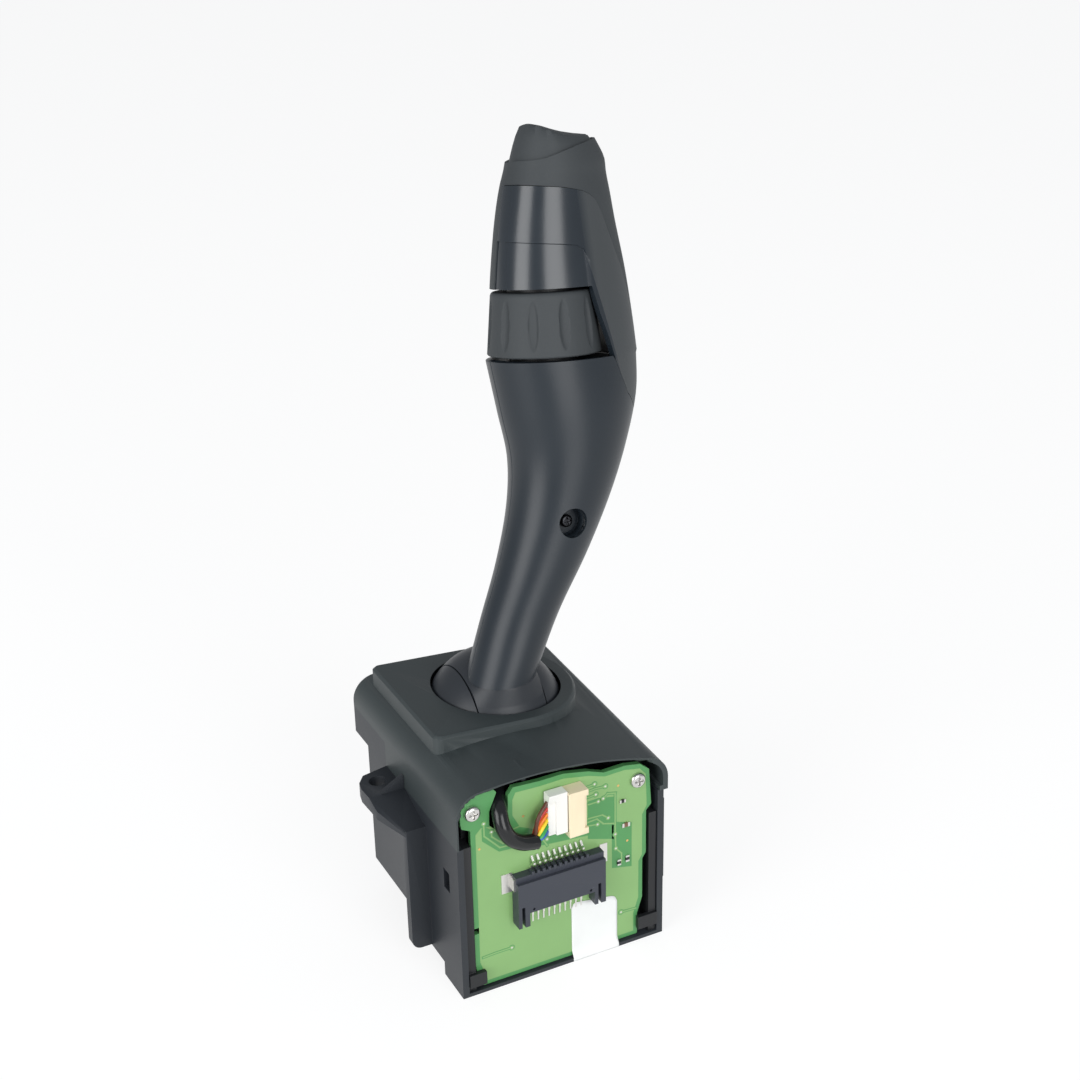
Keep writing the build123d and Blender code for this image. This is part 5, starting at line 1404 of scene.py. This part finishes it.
class STALK_OT_stage(bpy.types.Operator):
    """Makes the pale floor, the soft lamps, the surrounding light and the camera"""

    bl_idname = "stalk.stage"
    bl_label = "Floor, light and camera"

    def execute(self, context):
        stage = context.scene.stalk_stage
        self.floor()
        self.sky(context.scene, stage.sky)
        self.lamp("Left lamp", LEFT_LAMP, stage.key)
        self.lamp("Front lamp", FRONT_LAMP, stage.fill)
        self.camera(context.scene)
        context.scene.view_settings.view_transform = "Standard"
        return {"FINISHED"}

    def floor(self):
        mesh = bpy.data.meshes.new("floor")
        signs = ((-1, -1), (1, -1), (1, 1), (-1, 1))
        corners = [(x * FLOOR_HALF, y * FLOOR_HALF, BOX_CORNER.z * MM) for x, y in signs]
        mesh.from_pydata(corners, [], [(0, 1, 2, 3)])
        material = plain_material("Pale floor")
        tree = material.node_tree
        diffuse = shader_node(tree, "ShaderNodeBsdfDiffuse", {"Color": (0.86, 0.86, 0.86, 1)})
        glow = shader_node(tree, "ShaderNodeEmission", {"Color": (1, 1, 1, 1), "Strength": FLOOR_GLOW})
        rays = shader_node(tree, "ShaderNodeLightPath").outputs
        seen = maths(tree, "MAXIMUM", rays["Is Camera Ray"], rays["Is Glossy Ray"])
        seen = maths(tree, "MAXIMUM", seen, rays["Is Transmission Ray"])
        share = maths(tree, "MULTIPLY", seen, FLOOR_GLOW_SHARE)
        mixed_output(tree, "ShaderNodeOutputMaterial", share, diffuse, glow)
        mesh.materials.append(material)
        linked("floor", mesh)

    def sky(self, scene, strength):
        world = bpy.data.worlds.new("Soft sky")
        world.use_nodes = True
        tree = world.node_tree
        tree.nodes.clear()
        seen = shader_node(tree, "ShaderNodeLightPath").outputs["Is Camera Ray"]
        light = {"Color": (0.93, 0.96, 1.0, 1), "Strength": strength}
        white = {"Color": (1, 1, 1, 1), "Strength": 1.0}
        mixed_output(
            tree, "ShaderNodeOutputWorld", seen,
            shader_node(tree, "ShaderNodeBackground", light),
            shader_node(tree, "ShaderNodeBackground", white),
        )
        scene.world = world

    def lamp(self, name, place, power):
        light = bpy.data.lights.new(name, "AREA")
        light.shape = "RECTANGLE"
        light.size, light.size_y = LAMP_WIDTH, LAMP_HEIGHT
        light.energy = power
        lamp = linked(name, light)
        lamp.location = place
        lamp.rotation_euler = (LAMP_TARGET - Vector(place)).to_track_quat("-Z", "Y").to_euler()

    def camera(self, scene):
        azimuth, elevation = CAMERA_AZIMUTH, CAMERA_ELEVATION
        back = Vector((
            math.sin(azimuth) * math.cos(elevation),
            -math.cos(azimuth) * math.cos(elevation),
            math.sin(elevation),
        ))
        level = Vector((math.cos(azimuth), math.sin(azimuth), 0))
        rise = back.cross(level)
        right = level * math.cos(CAMERA_ROLL) + rise * math.sin(CAMERA_ROLL)
        up = rise * math.cos(CAMERA_ROLL) - level * math.sin(CAMERA_ROLL)
        data = bpy.data.cameras.new("camera")
        data.sensor_width = 36.0
        data.lens = CAMERA_LENS
        data.clip_start, data.clip_end = 0.01, 20.0
        camera = linked("camera", data)
        turn = Matrix((right, up, back)).transposed().to_4x4()
        camera.matrix_world = Matrix.Translation(CAMERA_PLACE * MM) @ turn
        scene.camera = camera


PIECE_OPERATORS = (
    STALK_OT_finishes,
    STALK_OT_grip,
    STALK_OT_head,
    STALK_OT_ring,
    STALK_OT_button,
    STALK_OT_housing,
    STALK_OT_board_art,
    STALK_OT_small_parts,
    STALK_OT_leads,
    STALK_OT_label,
    STALK_OT_stage,
)


class STALK_PT_panel(bpy.types.Panel):
    """Lists the settings and the pieces"""

    bl_label = "Stalk Switch"
    bl_idname = "STALK_PT_panel"
    bl_space_type = "VIEW_3D"
    bl_region_type = "UI"
    bl_category = "Stalk Switch"

    def draw(self, context):
        for group in (context.scene.stalk_colours, context.scene.stalk_sizes, context.scene.stalk_stage):
            for name in group.__annotations__:
                self.layout.prop(group, name)
        for operator in PIECE_OPERATORS:
            self.layout.operator(operator.bl_idname)


CLASSES = (StalkColours, StalkSizes, StalkStage, *PIECE_OPERATORS, STALK_PT_panel)


def register():
    for entry in CLASSES:
        bpy.utils.register_class(entry)
    bpy.types.Scene.stalk_colours = bpy.props.PointerProperty(type=StalkColours)
    bpy.types.Scene.stalk_sizes = bpy.props.PointerProperty(type=StalkSizes)
    bpy.types.Scene.stalk_stage = bpy.props.PointerProperty(type=StalkStage)


def unregister():
    del bpy.types.Scene.stalk_stage
    del bpy.types.Scene.stalk_sizes
    del bpy.types.Scene.stalk_colours
    for entry in reversed(CLASSES):
        bpy.utils.unregister_class(entry)


def main():
    register()
    bpy.ops.stalk.finishes()
    bpy.ops.stalk.grip()
    bpy.ops.stalk.head()
    bpy.ops.stalk.ring()
    bpy.ops.stalk.button()
    bpy.ops.stalk.housing()
    bpy.ops.stalk.board_art()
    bpy.ops.stalk.small_parts()
    bpy.ops.stalk.leads()
    bpy.ops.stalk.label()
    bpy.ops.stalk.stage()


if __name__ == "__main__":
    main()
